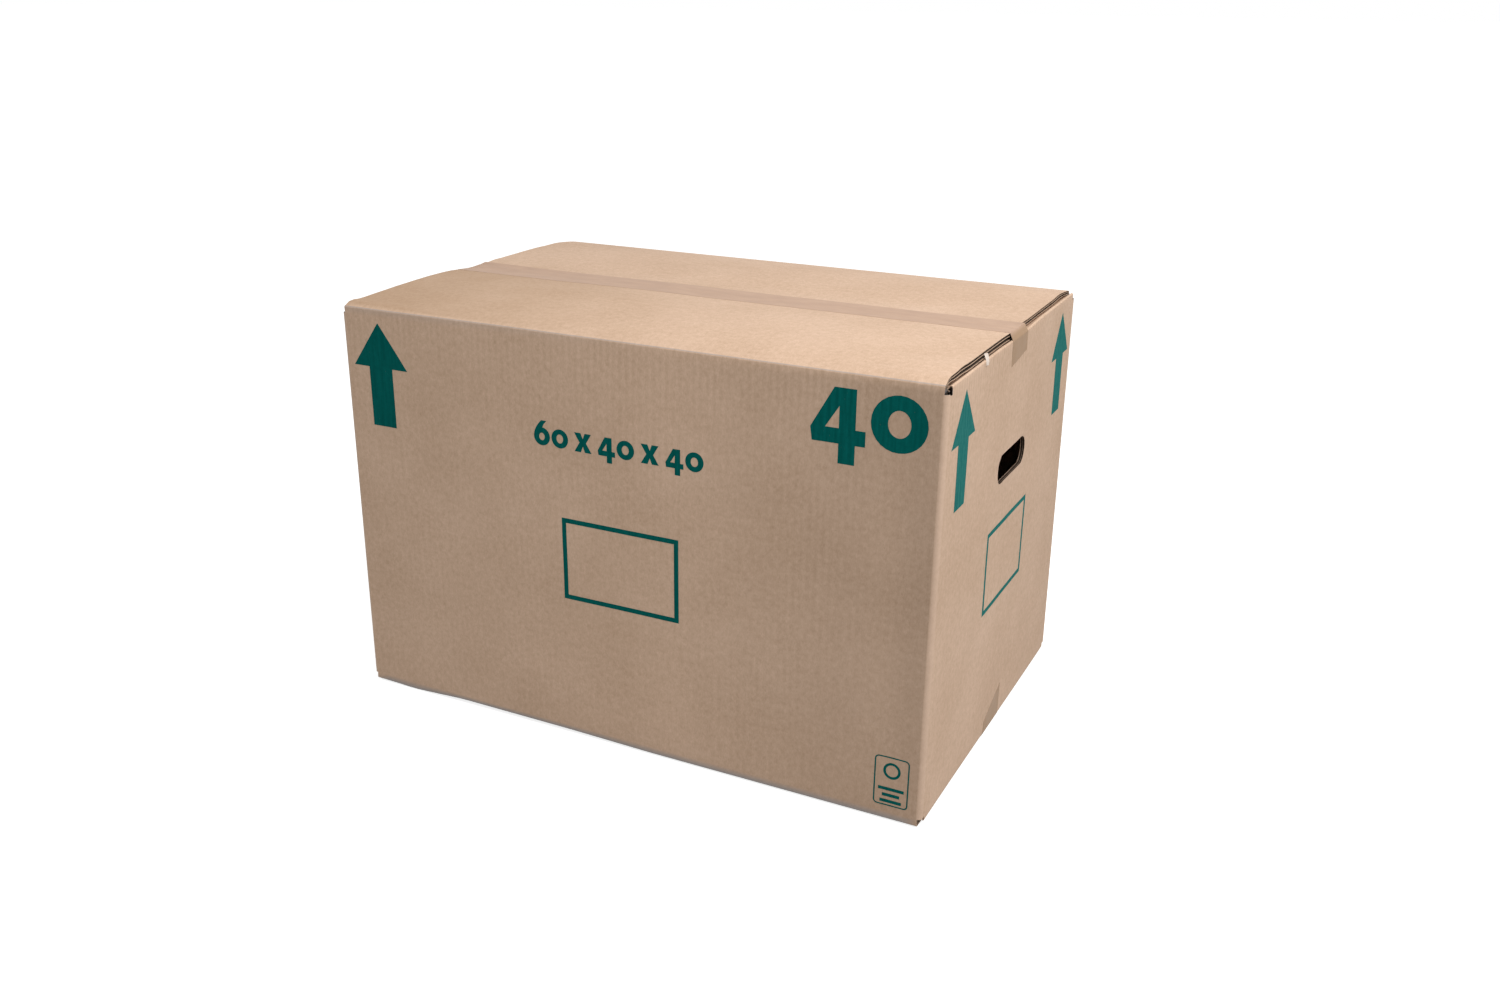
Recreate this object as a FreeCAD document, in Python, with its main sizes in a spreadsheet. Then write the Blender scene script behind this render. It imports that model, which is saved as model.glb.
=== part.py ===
import FreeCAD, Part
import math
import os

# A closed moving box in double wall corrugated board, 60 x 40 x 40 cm.
# X runs along the long walls, the printed long wall faces -Y and Z is up.
# The origin is the centre of the footprint, on the surface it stands on.

DOC = FreeCAD.newDocument("cardboard_box")

SIZES = [
    ("outer_length", 600, "outside length, along X"),
    ("outer_width", 400, "outside width, along Y"),
    ("outer_height", 402, "floor to the crest of the bowed top flaps"),
    ("board", 6.6, "double wall board"),
    ("liner", 0.4, "outer and inner facing of the board"),
    ("middle_liner", 0.3, "facing between the two fluted layers"),
    ("fine_flute", 2.3, "height of the outer fluted layer"),
    ("fine_pitch", 6.5, "pitch of the outer flutes"),
    ("coarse_pitch", 7.9, "pitch of the inner flutes"),
    ("flute_web", 0.6, "room left for the fluted paper between two channels"),
    ("edge_depth", 5, "depth to which the flutes are open at a cut edge"),
    ("score_board", 3, "board left at a score line of a long wall"),
    ("lay_gap", 0.4, "air between two flaps that lie on each other"),
    ("corner_radius", 6, "vertical folds, outside"),
    ("crease_radius", 5.5, "folds of the long flaps, outside"),
    ("end_crease_radius", 4.8, "folds of the end flaps, outside"),
    ("top_crease_drop", 5.8, "long top fold below the crest"),
    ("top_seam_dip", 2.2, "taped seam below the crest"),
    ("top_crest_start", 95, "crest, nearest to the seam"),
    ("top_crest_end", 125, "crest, nearest to the long wall"),
    ("bottom_crease_lift", 3.6, "long bottom fold above the floor"),
    ("bottom_seam_lift", 0.8, "bottom seam above the floor"),
    ("bottom_flat_start", 60, "flat underside, nearest to the seam"),
    ("bottom_flat_end", 150, "flat underside, nearest to the long wall"),
    ("seam_gap", 1, "air between the two long flaps"),
    ("seam_flat", 26, "half width of the level strip at the seam"),
    ("slot_on_long", 4.4, "corner slot, measured along the long wall"),
    ("slot_on_end", 7, "corner slot, measured along the end wall"),
    ("slot_margin", 1, "corner slots reach this far past the end folds"),
    ("end_flap_length", 198, "end flaps, from the outside of the end wall"),
    ("band_end", 12, "open flutes of a flap end stop short of the wall"),
    ("joint_tab_width", 38, "glued tab of the closing joint"),
    ("joint_tab_margin", 22, "glued tab short of the corner slots"),
    ("joint_crack", 0.2, "open line beside the closing joint"),
    ("hole_width", 86.4, "hand hole, along Y"),
    ("hole_height", 27.6, "hand hole"),
    ("hole_radius", 11, "hand hole corners"),
    ("hole_bottom", 265.5, "hand hole above the floor"),
    ("tab_kerf", 0.6, "cut between the hand hole and its folded tab"),
    ("tape_width", 48, "parcel tape"),
    ("tape_thickness", 0.2, "parcel tape"),
    ("tape_turn_long", 30, "tape end below the crest, at its long edge"),
    ("tape_turn_short", 25, "tape end below the crest, at its short edge"),
    ("tape_rise_long", 40, "bottom tape end above the floor, long edge"),
    ("tape_rise_short", 22, "bottom tape end above the floor, short edge"),
    ("ink", 0.15, "printed shapes stand this proud"),
    ("arrow_tip", 383.5, "tip of each arrow above the floor"),
    ("arrow_base", 341.5, "underside of each arrow head above the floor"),
    ("arrow_foot", 284.5, "foot of each arrow above the floor"),
    ("arrow_head", 61.6, "width of each arrow head"),
    ("arrow_stem", 26.6, "width of each arrow stem"),
    ("long_arrow_inset", 41.4, "arrow centre to the left end of a long wall"),
    ("end_arrow_inset", 45.4, "arrow centre to each side of an end wall"),
    ("frame_width", 121, "name frame, outside"),
    ("frame_height", 81, "name frame, outside"),
    ("frame_foot", 145, "name frame above the floor"),
    ("frame_line", 4.5, "line of the name frame"),
    ("text_size", 17.8, "height of a zero in the size line"),
    ("text_base", 292.6, "size line above the floor"),
    ("text_gap", 2, "air between two figures of the size line"),
    ("text_space", 9, "air beside each x of the size line"),
    ("large_size", 48, "height of the zero of the large number"),
    ("large_base", 337.6, "large number above the floor"),
    ("large_gap", 4, "air between the two large figures"),
    ("large_inset", 14.9, "large number to the right end of a long wall"),
    ("mark_width", 32, "small printed mark, outside"),
    ("mark_height", 48.4, "small printed mark, outside"),
    ("mark_radius", 4, "corners of the small mark"),
    ("mark_line", 1.2, "lines of the small mark"),
    ("mark_foot", 14.6, "small mark above the floor"),
    ("mark_inset", 13, "small mark to the right end of a long wall"),
    ("scrap_width", 5, "scrap of paper caught at the flap end"),
    ("scrap_height", 8, "scrap of paper, length that shows"),
    ("scrap_thickness", 0.3, "scrap of paper"),
    ("scrap_offset", 103, "scrap of paper in front of the seam"),
]


def make_sheet():
    sheet = DOC.addObject("Spreadsheet::Sheet", "sizes")
    for row, (alias, value, note) in enumerate(SIZES, start=1):
        sheet.set("A%d" % row, alias)
        sheet.set("B%d" % row, str(value))
        sheet.setAlias("B%d" % row, alias)
        sheet.set("C%d" % row, note)
    DOC.recompute()
    return sheet


SHEET = make_sheet()

# Places that follow from the sizes, as expressions that objects can be bound to
HALF_LENGTH = "sizes.outer_length / 2"
HALF_WIDTH = "sizes.outer_width / 2"
TOP_CREASE = "(sizes.outer_height - sizes.top_crease_drop)"
SEAM_TOP = "(sizes.outer_height - sizes.top_seam_dip)"
FLAP_END = "(%s - sizes.slot_on_long)" % HALF_LENGTH
END_FLAP_SIDE = "(%s - sizes.slot_on_end)" % HALF_WIDTH
END_TOP = "(%s - sizes.score_board - sizes.lay_gap)" % TOP_CREASE
END_BOTTOM = "(sizes.bottom_seam_lift + sizes.board + sizes.lay_gap)"
SLOT_TOP = "(%s - sizes.end_crease_radius - sizes.slot_margin)" % END_TOP
SLOT_BOTTOM = "(%s + sizes.end_crease_radius + sizes.slot_margin)" % END_BOTTOM
INNER_LENGTH = "(sizes.outer_length - 2 * sizes.board)"
INNER_WIDTH = "(sizes.outer_width - 2 * sizes.board)"
HOLE_TOP = "(sizes.hole_bottom + sizes.hole_height)"
COARSE_FLUTE = "(sizes.board - 2 * sizes.liner - sizes.middle_liner - sizes.fine_flute)"

# Tools reach this far past the face that they cut
OVERCUT = 1.0


def number(expression):
    value = SHEET.evalExpression(expression)
    return float(getattr(value, "Value", value))


def size(alias):
    return number("sizes.%s" % alias)


def bind(item, prop, expression):
    item.setExpression(prop, str(expression))


def place(item, x=0, y=0, z=0):
    bind(item, ".Placement.Base.x", x)
    bind(item, ".Placement.Base.y", y)
    bind(item, ".Placement.Base.z", z)


def make_box(name, length, width, height, x, y, z):
    item = DOC.addObject("Part::Box", name)
    bind(item, "Length", length)
    bind(item, "Width", width)
    bind(item, "Height", height)
    place(item, x, y, z)
    return item


def make_cylinder(name, radius, height, x, y, z):
    item = DOC.addObject("Part::Cylinder", name)
    bind(item, "Radius", radius)
    bind(item, "Height", height)
    place(item, x, y, z)
    return item


def make_cut(name, base, tool):
    item = DOC.addObject("Part::Cut", name)
    item.Base = base
    item.Tool = tool
    return item


def make_fuse(name, pieces):
    item = DOC.addObject("Part::MultiFuse", name)
    item.Shapes = pieces
    item.Refine = True
    return item


def make_group(name, pieces):
    item = DOC.addObject("Part::Compound", name)
    item.Links = pieces
    return item


def make_mirror(name, source, normal):
    item = DOC.addObject("Part::Mirroring", name)
    item.Source = source
    item.Base = FreeCAD.Vector(0, 0, 0)
    item.Normal = FreeCAD.Vector(*normal)
    return item


def make_extrusion(name, section, direction, length, start=0):
    item = DOC.addObject("Part::Extrusion", name)
    item.Base = section
    item.DirMode = "Custom"
    item.Dir = FreeCAD.Vector(*direction)
    item.Solid = True
    bind(item, "LengthFwd", length)
    axis = "xyz"[[abs(part) for part in direction].index(1)]
    bind(item, ".Placement.Base.%s" % axis, start)
    return item


# Outlines: a list of corner points, where a pair (middle, end) is an arc


def outline_face(points, to_space):
    edges = []
    last = points[0]
    closed = points[-1] == last or points[-1][-1] == last
    for step in points[1:] + ([] if closed else [last]):
        if isinstance(step[0], tuple):
            middle, end = step
            edges.append(Part.Arc(to_space(last), to_space(middle), to_space(end)).toShape())
        else:
            end = step
            edges.append(Part.LineSegment(to_space(last), to_space(end)).toShape())
        last = end
    return Part.Face(Part.Wire(edges))


def make_section(name, points, to_space):
    item = DOC.addObject("Part::Feature", name)
    item.Shape = outline_face(points, to_space)
    return item


def rounded_rectangle(left, right, low, high, radius):
    corner = radius * (1 - math.sqrt(0.5))
    return [
        (left + radius, low),
        (right - radius, low),
        ((right - corner, low + corner), (right, low + radius)),
        (right, high - radius),
        ((right - corner, high - corner), (right - radius, high)),
        (left + radius, high),
        ((left + corner, high - corner), (left, high - radius)),
        (left, low + radius),
        ((left + corner, low + corner), (left + radius, low)),
    ]


class LongFlapCurve:
    """Outside of a long flap across the box: u from the seam, h above the crest."""

    def __init__(self, crest_start, crest_end, dip, drop, foot):
        self.flat = size("seam_flat")
        self.crest_start = crest_start
        self.crest_end = crest_end
        self.dip = dip
        self.drop = drop
        self.foot = foot
        self.wall = number(HALF_WIDTH)
        self.fold = size("crease_radius")
        run = (crest_start - self.flat) / 2
        rise = dip / 2
        self.bend = (run * run + rise * rise) / (2 * rise)
        self.turn = math.asin(run / self.bend)
        self.fold_centre = (self.wall - self.fold, -drop - self.fold)
        span = self.fold_centre[0] - crest_end
        reach = -self.fold_centre[1]
        self.shoulder = (span ** 2 + reach ** 2 - self.fold ** 2) / (2 * (reach - self.fold))

    def rising(self, depth, share):
        """Point of the bend beside the seam strip, depth below the outside."""
        radius = self.bend + depth
        angle = self.turn * share
        return (self.flat + radius * math.sin(angle), self.bend - self.dip - radius * math.cos(angle))

    def levelling(self, depth, share):
        """Point of the bend that ends at the crest, depth below the outside."""
        radius = self.bend - depth
        angle = self.turn * share
        return (self.crest_start - radius * math.sin(angle), radius * math.cos(angle) - self.bend)

    def falling(self, depth, u):
        """Point of the shoulder between the crest and the fold."""
        radius = self.shoulder - depth
        return (u, math.sqrt(radius ** 2 - (u - self.crest_end) ** 2) - self.shoulder)

    def seam_to_crest(self, depth, start):
        return [
            (start, -self.dip - depth),
            (self.flat, -self.dip - depth),
            (self.rising(depth, 0.5), self.rising(depth, 1)),
            (self.levelling(depth, 0.5), (self.crest_start, -depth)),
            (self.crest_end, -depth),
        ]

    def crest_to_seam(self, depth, start):
        return [
            (self.crest_end, -depth),
            (self.crest_start, -depth),
            (self.levelling(depth, 0.5), self.rising(depth, 1)),
            (self.rising(depth, 0.5), (self.flat, -self.dip - depth)),
            (start, -self.dip - depth),
        ]

    def shoulder_step(self, depth, u):
        return (self.falling(depth, (self.crest_end + u) / 2), self.falling(depth, u))

    def flap_outline(self):
        board = size("board")
        inner = self.wall - board
        start = size("seam_gap") / 2
        scale = self.shoulder / (self.shoulder - self.fold)
        tangent = self.crest_end + (self.fold_centre[0] - self.crest_end) * scale
        turn = math.asin((tangent - self.fold_centre[0]) / self.fold)
        half = (turn + math.pi / 2) / 2
        fold_middle = (
            self.fold_centre[0] + self.fold * math.sin(half),
            self.fold_centre[1] + self.fold * math.cos(half),
        )
        points = self.seam_to_crest(0, start)
        points.append(self.shoulder_step(0, tangent))
        points.append((fold_middle, (self.wall, self.fold_centre[1])))
        points.append((self.wall, self.foot))
        points.append((inner, self.foot))
        points.append((inner, -self.drop - size("score_board")))
        return points + self.crest_to_seam(board, start)

    def inner_line(self, u):
        """Height of the straight inner face between the crest and the wall."""
        board = size("board")
        wall = self.wall - board
        share = (u - self.crest_end) / (wall - self.crest_end)
        return -board + share * (board - self.drop - size("score_board"))

    def fine_band(self):
        """Open part of the outer fluted layer, seen at the end of the flap."""
        start = size("seam_gap")
        stop = self.wall - size("board") - size("band_end")
        near = size("liner")
        far = near + size("fine_flute")
        low_middle, _ = self.shoulder_step(far, stop)
        points = self.seam_to_crest(near, start)
        points.append(self.shoulder_step(near, stop))
        points.append(self.falling(far, stop))
        points.append((low_middle, (self.crest_end, -far)))
        return points + self.crest_to_seam(far, start)[1:]

    def coarse_band(self):
        """Open part of the inner fluted layer, which narrows at the score."""
        start = size("seam_gap")
        stop = self.wall - size("board") - size("band_end")
        near = size("liner") + size("fine_flute") + size("middle_liner")
        far = size("board") - size("liner")
        points = self.seam_to_crest(near, start)
        points.append(self.shoulder_step(near, stop))
        points.append((stop, self.inner_line(stop) + size("liner")))
        return points + self.crest_to_seam(far, start)


def top_curve():
    return LongFlapCurve(
        size("top_crest_start"), size("top_crest_end"),
        size("top_seam_dip"), size("top_crease_drop"),
        number(SLOT_TOP) - size("outer_height"))


def bottom_curve():
    return LongFlapCurve(
        size("bottom_flat_start"), size("bottom_flat_end"),
        size("bottom_seam_lift"), size("bottom_crease_lift"), -number(SLOT_BOTTOM))


def front_top(point):
    return FreeCAD.Vector(0, -point[0], size("outer_height") + point[1])


def front_bottom(point):
    return FreeCAD.Vector(0, -point[0], -point[1])


def make_long_flaps():
    """Both long flaps of the top and of the bottom, each with its strip of wall."""
    flaps = []
    for name, curve, to_space in (
            ("top", top_curve(), front_top), ("bottom", bottom_curve(), front_bottom)):
        section = make_section("%s_flap_section" % name, curve.flap_outline(), to_space)
        front = make_extrusion(
            "%s_front_flap" % name, section, (1, 0, 0), "2 * %s" % FLAP_END, "-%s" % FLAP_END)
        flaps.append(front)
        flaps.append(make_mirror("%s_back_flap" % name, front, (0, 1, 0)))
    return flaps


def make_flap_end_flutes():
    """Channels that open the fluted layers at both ends of the long flaps."""
    tools = []
    for name, curve, to_space in (
            ("top", top_curve(), front_top), ("bottom", bottom_curve(), front_bottom)):
        for layer, outline in (("fine", curve.fine_band()), ("coarse", curve.coarse_band())):
            label = "%s_%s" % (name, layer)
            section = make_section("%s_band" % label, outline, to_space)
            right = make_extrusion(
                "%s_right" % label, section, (1, 0, 0),
                "sizes.edge_depth + %g" % OVERCUT, "%s - sizes.edge_depth" % FLAP_END)
            left = make_mirror("%s_left" % label, right, (1, 0, 0))
            front = make_group("%s_front" % label, [right, left])
            tools.append(front)
            tools.append(make_mirror("%s_back" % label, front, (0, 1, 0)))
    return tools


def end_fold_outline(crest, foot):
    """Top of an end wall with its flap, across the box: x and z."""
    wall = number(HALF_LENGTH)
    board = size("board")
    radius = size("end_crease_radius")
    up = 1 if crest > foot else -1
    corner = radius * (1 - math.sqrt(0.5))
    tip = wall - size("end_flap_length")
    return [
        (wall, foot),
        (wall, crest - up * radius),
        ((wall - corner, crest - up * corner), (wall - radius, crest)),
        (tip, crest),
        (tip, crest - up * board),
        (wall - board, crest - up * board),
        (wall - board, foot),
    ]


def make_end_flaps():
    """The four end flaps, which lie inside the long ones."""
    flaps = []
    for name, crest, foot in (("top", END_TOP, SLOT_TOP), ("bottom", END_BOTTOM, SLOT_BOTTOM)):
        outline = end_fold_outline(number(crest), number(foot))
        section = make_section(
            "%s_end_section" % name, outline, lambda point: FreeCAD.Vector(point[0], 0, point[1]))
        right = make_extrusion(
            "%s_right_flap" % name, section, (0, 1, 0), "2 * %s" % END_FLAP_SIDE, "-%s" % END_FLAP_SIDE)
        flaps.append(right)
        flaps.append(make_mirror("%s_left_flap" % name, right, (1, 0, 0)))
    return flaps


def make_corner_trim(name, centre_x, centre_y, box_x, box_y):
    """What is taken off a square corner to leave a rounded vertical fold."""
    height = "%s - %s" % (SLOT_TOP, SLOT_BOTTOM)
    block = make_box(
        "%s_block" % name, "sizes.corner_radius", "sizes.corner_radius", height,
        box_x, box_y, SLOT_BOTTOM)
    post = make_cylinder(
        "%s_post" % name, "sizes.corner_radius", height, centre_x, centre_y, SLOT_BOTTOM)
    return make_cut("%s_trim" % name, block, post)


def make_wall_ring():
    """The four walls between the corner slots, with their vertical folds."""
    height = "%s - %s" % (SLOT_TOP, SLOT_BOTTOM)
    outside = make_box(
        "wall_outside", "sizes.outer_length", "sizes.outer_width", height,
        "-" + HALF_LENGTH, "-" + HALF_WIDTH, SLOT_BOTTOM)
    inside = make_box(
        "wall_inside", INNER_LENGTH, INNER_WIDTH, height,
        "sizes.board - " + HALF_LENGTH, "sizes.board - " + HALF_WIDTH, SLOT_BOTTOM)
    ring = make_cut("square_ring", outside, inside)
    radius = "sizes.corner_radius"
    right = "%s - %s" % (HALF_LENGTH, radius)
    left = "%s - %s" % (radius, HALF_LENGTH)
    front = "%s - %s" % (radius, HALF_WIDTH)
    back = "%s - %s" % (HALF_WIDTH, radius)
    low_x = "-" + HALF_LENGTH
    low_y = "-" + HALF_WIDTH
    joint_x = "sizes.board + sizes.joint_crack + %s - %s" % (radius, HALF_LENGTH)
    joint_low = "sizes.board - " + HALF_LENGTH
    trims = [
        make_corner_trim("front_right", right, front, right, low_y),
        make_corner_trim("front_left", left, front, low_x, low_y),
        make_corner_trim("back_right", right, back, right, back),
        make_corner_trim("joint", joint_x, back, joint_low, back),
    ]
    return make_cut("walls", ring, make_group("corner_trims", trims))


def make_joint_tab():
    """Tab of the back wall, glued inside the left end wall."""
    margin = "sizes.joint_tab_margin"
    return make_box(
        "joint_tab", "sizes.board", "sizes.joint_tab_width",
        "%s - %s - 2 * %s" % (SLOT_TOP, SLOT_BOTTOM, margin),
        "sizes.board - " + HALF_LENGTH,
        "%s - sizes.board - sizes.joint_tab_width" % HALF_WIDTH,
        "%s + %s" % (SLOT_BOTTOM, margin))


def make_joint_flutes():
    """Channels in the raw edge of the left end wall, beside the back wall."""
    height = "%s - %s" % (SLOT_TOP, SLOT_BOTTOM)
    start = "%s - sizes.edge_depth" % HALF_WIDTH
    depth = "sizes.edge_depth + %g" % OVERCUT
    fine = make_box(
        "joint_fine_flute", "sizes.fine_flute", depth, height,
        "sizes.liner - " + HALF_LENGTH, start, SLOT_BOTTOM)
    coarse = make_box(
        "joint_coarse_flute", COARSE_FLUTE, depth, height,
        "sizes.liner + sizes.fine_flute + sizes.middle_liner - " + HALF_LENGTH, start, SLOT_BOTTOM)
    return [fine, coarse]


def make_hand_hole():
    """Opening in the right end wall."""
    half = size("hole_width") / 2
    outline = rounded_rectangle(
        -half, half, size("hole_bottom"), number(HOLE_TOP), size("hole_radius"))
    section = make_section(
        "hand_hole_section", outline, lambda point: FreeCAD.Vector(0, point[0], point[1]))
    return make_extrusion(
        "hand_hole", section, (1, 0, 0), "sizes.board + %g" % (2 * OVERCUT),
        "%s - sizes.board - %g" % (HALF_LENGTH, OVERCUT))


def make_hand_tab():
    """Tab of the hand hole, folded level into the box at its upper edge."""
    root = number(HALF_LENGTH) - size("board")
    tip = root - size("hole_height")
    side = size("hole_width") / 2 - size("tab_kerf")
    radius = size("hole_radius")
    corner = radius * (1 - math.sqrt(0.5))
    outline = [
        (root, -side),
        (root, side),
        (tip + radius, side),
        ((tip + corner, side - corner), (tip, side - radius)),
        (tip, radius - side),
        ((tip + corner, corner - side), (tip + radius, -side)),
    ]
    section = make_section(
        "hand_tab_section", outline, lambda point: FreeCAD.Vector(point[0], point[1], 0))
    return make_extrusion("hand_tab", section, (0, 0, 1), "sizes.board", HOLE_TOP)


def hole_floor(y):
    """Height of the lower edge of the hand hole at a place along Y."""
    radius = size("hole_radius")
    past = abs(y) - (size("hole_width") / 2 - radius)
    if past <= 0:
        return size("hole_bottom")
    return size("hole_bottom") + radius - math.sqrt(radius ** 2 - past ** 2)


def flute_channel(y, half, base_x, tip_x):
    """One open flute below the hand hole: a three sided hole, narrow at tip_x."""
    low = hole_floor(y) - size("edge_depth")
    high = size("hole_bottom") + size("hole_height") / 2
    corners = [
        FreeCAD.Vector(base_x, y - half, low),
        FreeCAD.Vector(base_x, y + half, low),
        FreeCAD.Vector(tip_x, y, low),
    ]
    wire = Part.makePolygon(corners + corners[:1])
    return Part.Face(wire).extrude(FreeCAD.Vector(0, 0, high - low))


def layer_channels(outer_x, inner_x, pitch):
    """All open flutes of one layer, turned outwards and inwards in turn."""
    web = size("flute_web")
    half = pitch / 2 - web / 2
    reach = size("hole_width") / 2 - half - web
    count = int(reach / (pitch / 2))
    step = -1 if inner_x < outer_x else 1
    channels = []
    for place_number in range(-count, count + 1):
        y = place_number * pitch / 2
        outward = place_number % 2 == 0
        base_x = outer_x if outward else inner_x
        tip_x = inner_x - step * web / 2 if outward else outer_x + step * web / 2
        channels.append(flute_channel(y, half, base_x, tip_x))
    return channels


def make_hole_flutes():
    """The cut ends of the flutes along the lower edge of the hand hole."""
    face = number(HALF_LENGTH)
    fine_out = face - size("liner")
    fine_in = fine_out - size("fine_flute")
    coarse_out = fine_in - size("middle_liner")
    coarse_in = coarse_out - number(COARSE_FLUTE)
    channels = layer_channels(fine_out, fine_in, size("fine_pitch"))
    channels += layer_channels(coarse_out, coarse_in, size("coarse_pitch"))
    item = DOC.addObject("Part::Feature", "hole_flutes")
    item.Shape = Part.makeCompound(channels)
    return item


def make_carton():
    """The whole box: one scored, slotted and folded sheet of board."""
    tab = make_hand_tab()
    tabs = [tab, make_mirror("left_hand_tab", tab, (1, 0, 0))]
    sheet = make_fuse(
        "folded_sheet",
        [make_wall_ring(), make_joint_tab()] + make_long_flaps() + make_end_flaps() + tabs)
    hole = make_group("hole_tools", [make_hand_hole(), make_hole_flutes()])
    cuts = [hole, make_mirror("left_hole_tools", hole, (1, 0, 0))]
    cuts += make_joint_flutes() + make_flap_end_flutes()
    return make_cut("carton", sheet, make_group("carton_tools", cuts))


def tape_outline(seam, crest, up):
    """Half a strip of tape along the box and over the end fold: x and z."""
    thick = size("tape_thickness")
    edge = number(FLAP_END)
    wall = number(HALF_LENGTH)
    radius = size("end_crease_radius")
    centre_x = wall - radius
    centre_h = up * (crest - seam) - radius
    away = math.hypot(edge - centre_x, centre_h)
    lean = math.atan2(-centre_h, edge - centre_x) - math.acos(radius / away)
    foot = centre_h - size("outer_height") / 4

    def on_fold(reach, angle):
        return (centre_x + reach * math.cos(angle), centre_h + reach * math.sin(angle))

    outer = radius + thick
    corner = (edge + thick * math.tan((math.pi / 2 - lean) / 2), thick)
    inside = [
        (0, 0), (edge, 0), on_fold(radius, lean),
        (on_fold(radius, lean / 2), (wall, centre_h)), (wall, foot)]
    outside = [
        (wall + thick, foot), (wall + thick, centre_h),
        (on_fold(outer, lean / 2), on_fold(outer, lean)), corner, (0, thick)]
    points = []
    for point in inside + outside:
        if isinstance(point[0], tuple):
            points.append(tuple((x, seam + up * height) for x, height in point))
        else:
            points.append((point[0], seam + up * point[1]))
    return points


def make_tape_end_trim(name, near, far, up):
    """Slanting cut across the turned end of a tape, with its long edge in front."""
    side = size("tape_width") / 2 + OVERCUT
    reach = up * size("outer_height")
    outline = [(-side, near), (side, far), (side, far - reach), (-side, near - reach)]
    section = make_section(
        "%s_trim_section" % name, outline, lambda point: FreeCAD.Vector(0, point[0], point[1]))
    return make_extrusion(
        "%s_trim" % name, section, (1, 0, 0), "sizes.tape_thickness + %g" % (2 * OVERCUT),
        "%s - %g" % (HALF_LENGTH, OVERCUT))


def make_tape(name, seam, crest, up, near, far):
    """A strip of tape over a seam, its ends turned on to the end walls."""
    section = make_section(
        "%s_section" % name, tape_outline(seam, crest, up),
        lambda point: FreeCAD.Vector(point[0], 0, point[1]))
    strip = make_extrusion(
        "%s_strip" % name, section, (0, 1, 0), "sizes.tape_width", "-sizes.tape_width / 2")
    half = make_cut("%s_half" % name, strip, make_tape_end_trim(name, near, far, up))
    return make_fuse(name, [half, make_mirror("%s_left" % name, half, (1, 0, 0))])


def make_top_tape():
    top = size("outer_height")
    return make_tape(
        "top_tape", number(SEAM_TOP), number(END_TOP), 1,
        top - size("tape_turn_long"), top - size("tape_turn_short"))


def make_bottom_tape():
    return make_tape(
        "bottom_tape", size("bottom_seam_lift"), number(END_BOTTOM), -1,
        size("tape_rise_short"), size("tape_rise_long"))


# Printed shapes: thin solids on the outside of a wall. They are drawn with s,
# which runs to the right of someone who faces the wall, and z


def on_long_wall(point):
    return FreeCAD.Vector(point[0], -number(HALF_WIDTH), point[1])


def on_end_wall(point):
    return FreeCAD.Vector(number(HALF_LENGTH), point[0], point[1])


def print_solid(points, to_space, holes=()):
    """Flat ink of an outline, with the holes left open."""
    face = outline_face(points, to_space)
    outward = FreeCAD.Vector(0, -1, 0) if to_space is on_long_wall else FreeCAD.Vector(1, 0, 0)
    solid = face.extrude(outward * size("ink"))
    for hole in holes:
        solid = solid.cut(outline_face(hole, to_space).extrude(outward * size("ink")))
    return solid


def disc(s, z, radius):
    return [(s - radius, z), ((s, z + radius), (s + radius, z)), ((s, z - radius), (s - radius, z))]


def print_arrow(s, to_space):
    head = size("arrow_head") / 2
    stem = size("arrow_stem") / 2
    base = size("arrow_base")
    foot = size("arrow_foot")
    outline = [
        (s, size("arrow_tip")), (s + head, base), (s + stem, base), (s + stem, foot),
        (s - stem, foot), (s - stem, base), (s - head, base)]
    return print_solid(outline, to_space)


def rectangle(left, right, low, high):
    return [(left, low), (right, low), (right, high), (left, high)]


def print_frame(to_space):
    half = size("frame_width") / 2
    low = size("frame_foot")
    high = low + size("frame_height")
    line = size("frame_line")
    inner = rectangle(line - half, half - line, low + line, high - line)
    return print_solid(rectangle(-half, half, low, high), to_space, [inner])


# Figures are drawn for a zero of height 1 that stands on z 0, then enlarged.
# Each returns its solids' outline, holes and width

ZERO_HOLE = 0.24
FOUR_WIDTH = 0.98
SIX_WIDTH = 0.96
CROSS_WIDTH = 0.9
CROSS_ARM = 0.27


def zero_outline():
    return disc(0.5, 0.5, 0.5), [disc(0.5, 0.5, ZERO_HOLE)]


def four_outline():
    outside = [
        (0.42, 1.0), (0.8, 1.0), (0.8, 0.29), (FOUR_WIDTH, 0.29), (FOUR_WIDTH, 0.03),
        (0.8, 0.03), (0.8, -0.31), (0.52, -0.31), (0.52, 0.03), (0.0, 0.03), (0.0, 0.25)]
    counter = [(0.52, 0.68), (0.52, 0.29), (0.27, 0.29)]
    return outside, [counter]


def six_outline():
    """A round bowl whose left side sweeps up and over to the right."""
    bowl = 0.48
    outside = [
        (0.0, bowl),
        ((bowl * (1 - math.sqrt(0.5)), bowl * (1 - math.sqrt(0.5))), (bowl, 0.0)),
        ((2 * bowl - bowl * (1 - math.sqrt(0.5)), bowl * (1 - math.sqrt(0.5))), (2 * bowl, bowl)),
        ((1.62 * bowl, 1.79 * bowl), (1.02 * bowl, 2 * bowl)),
        ((0.58, 1.15), (0.78, 1.33)),
        (0.46, 1.33),
        ((0.12, 1.0), (0.0, bowl)),
    ]
    return outside, [disc(bowl, bowl, ZERO_HOLE)]


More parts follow.
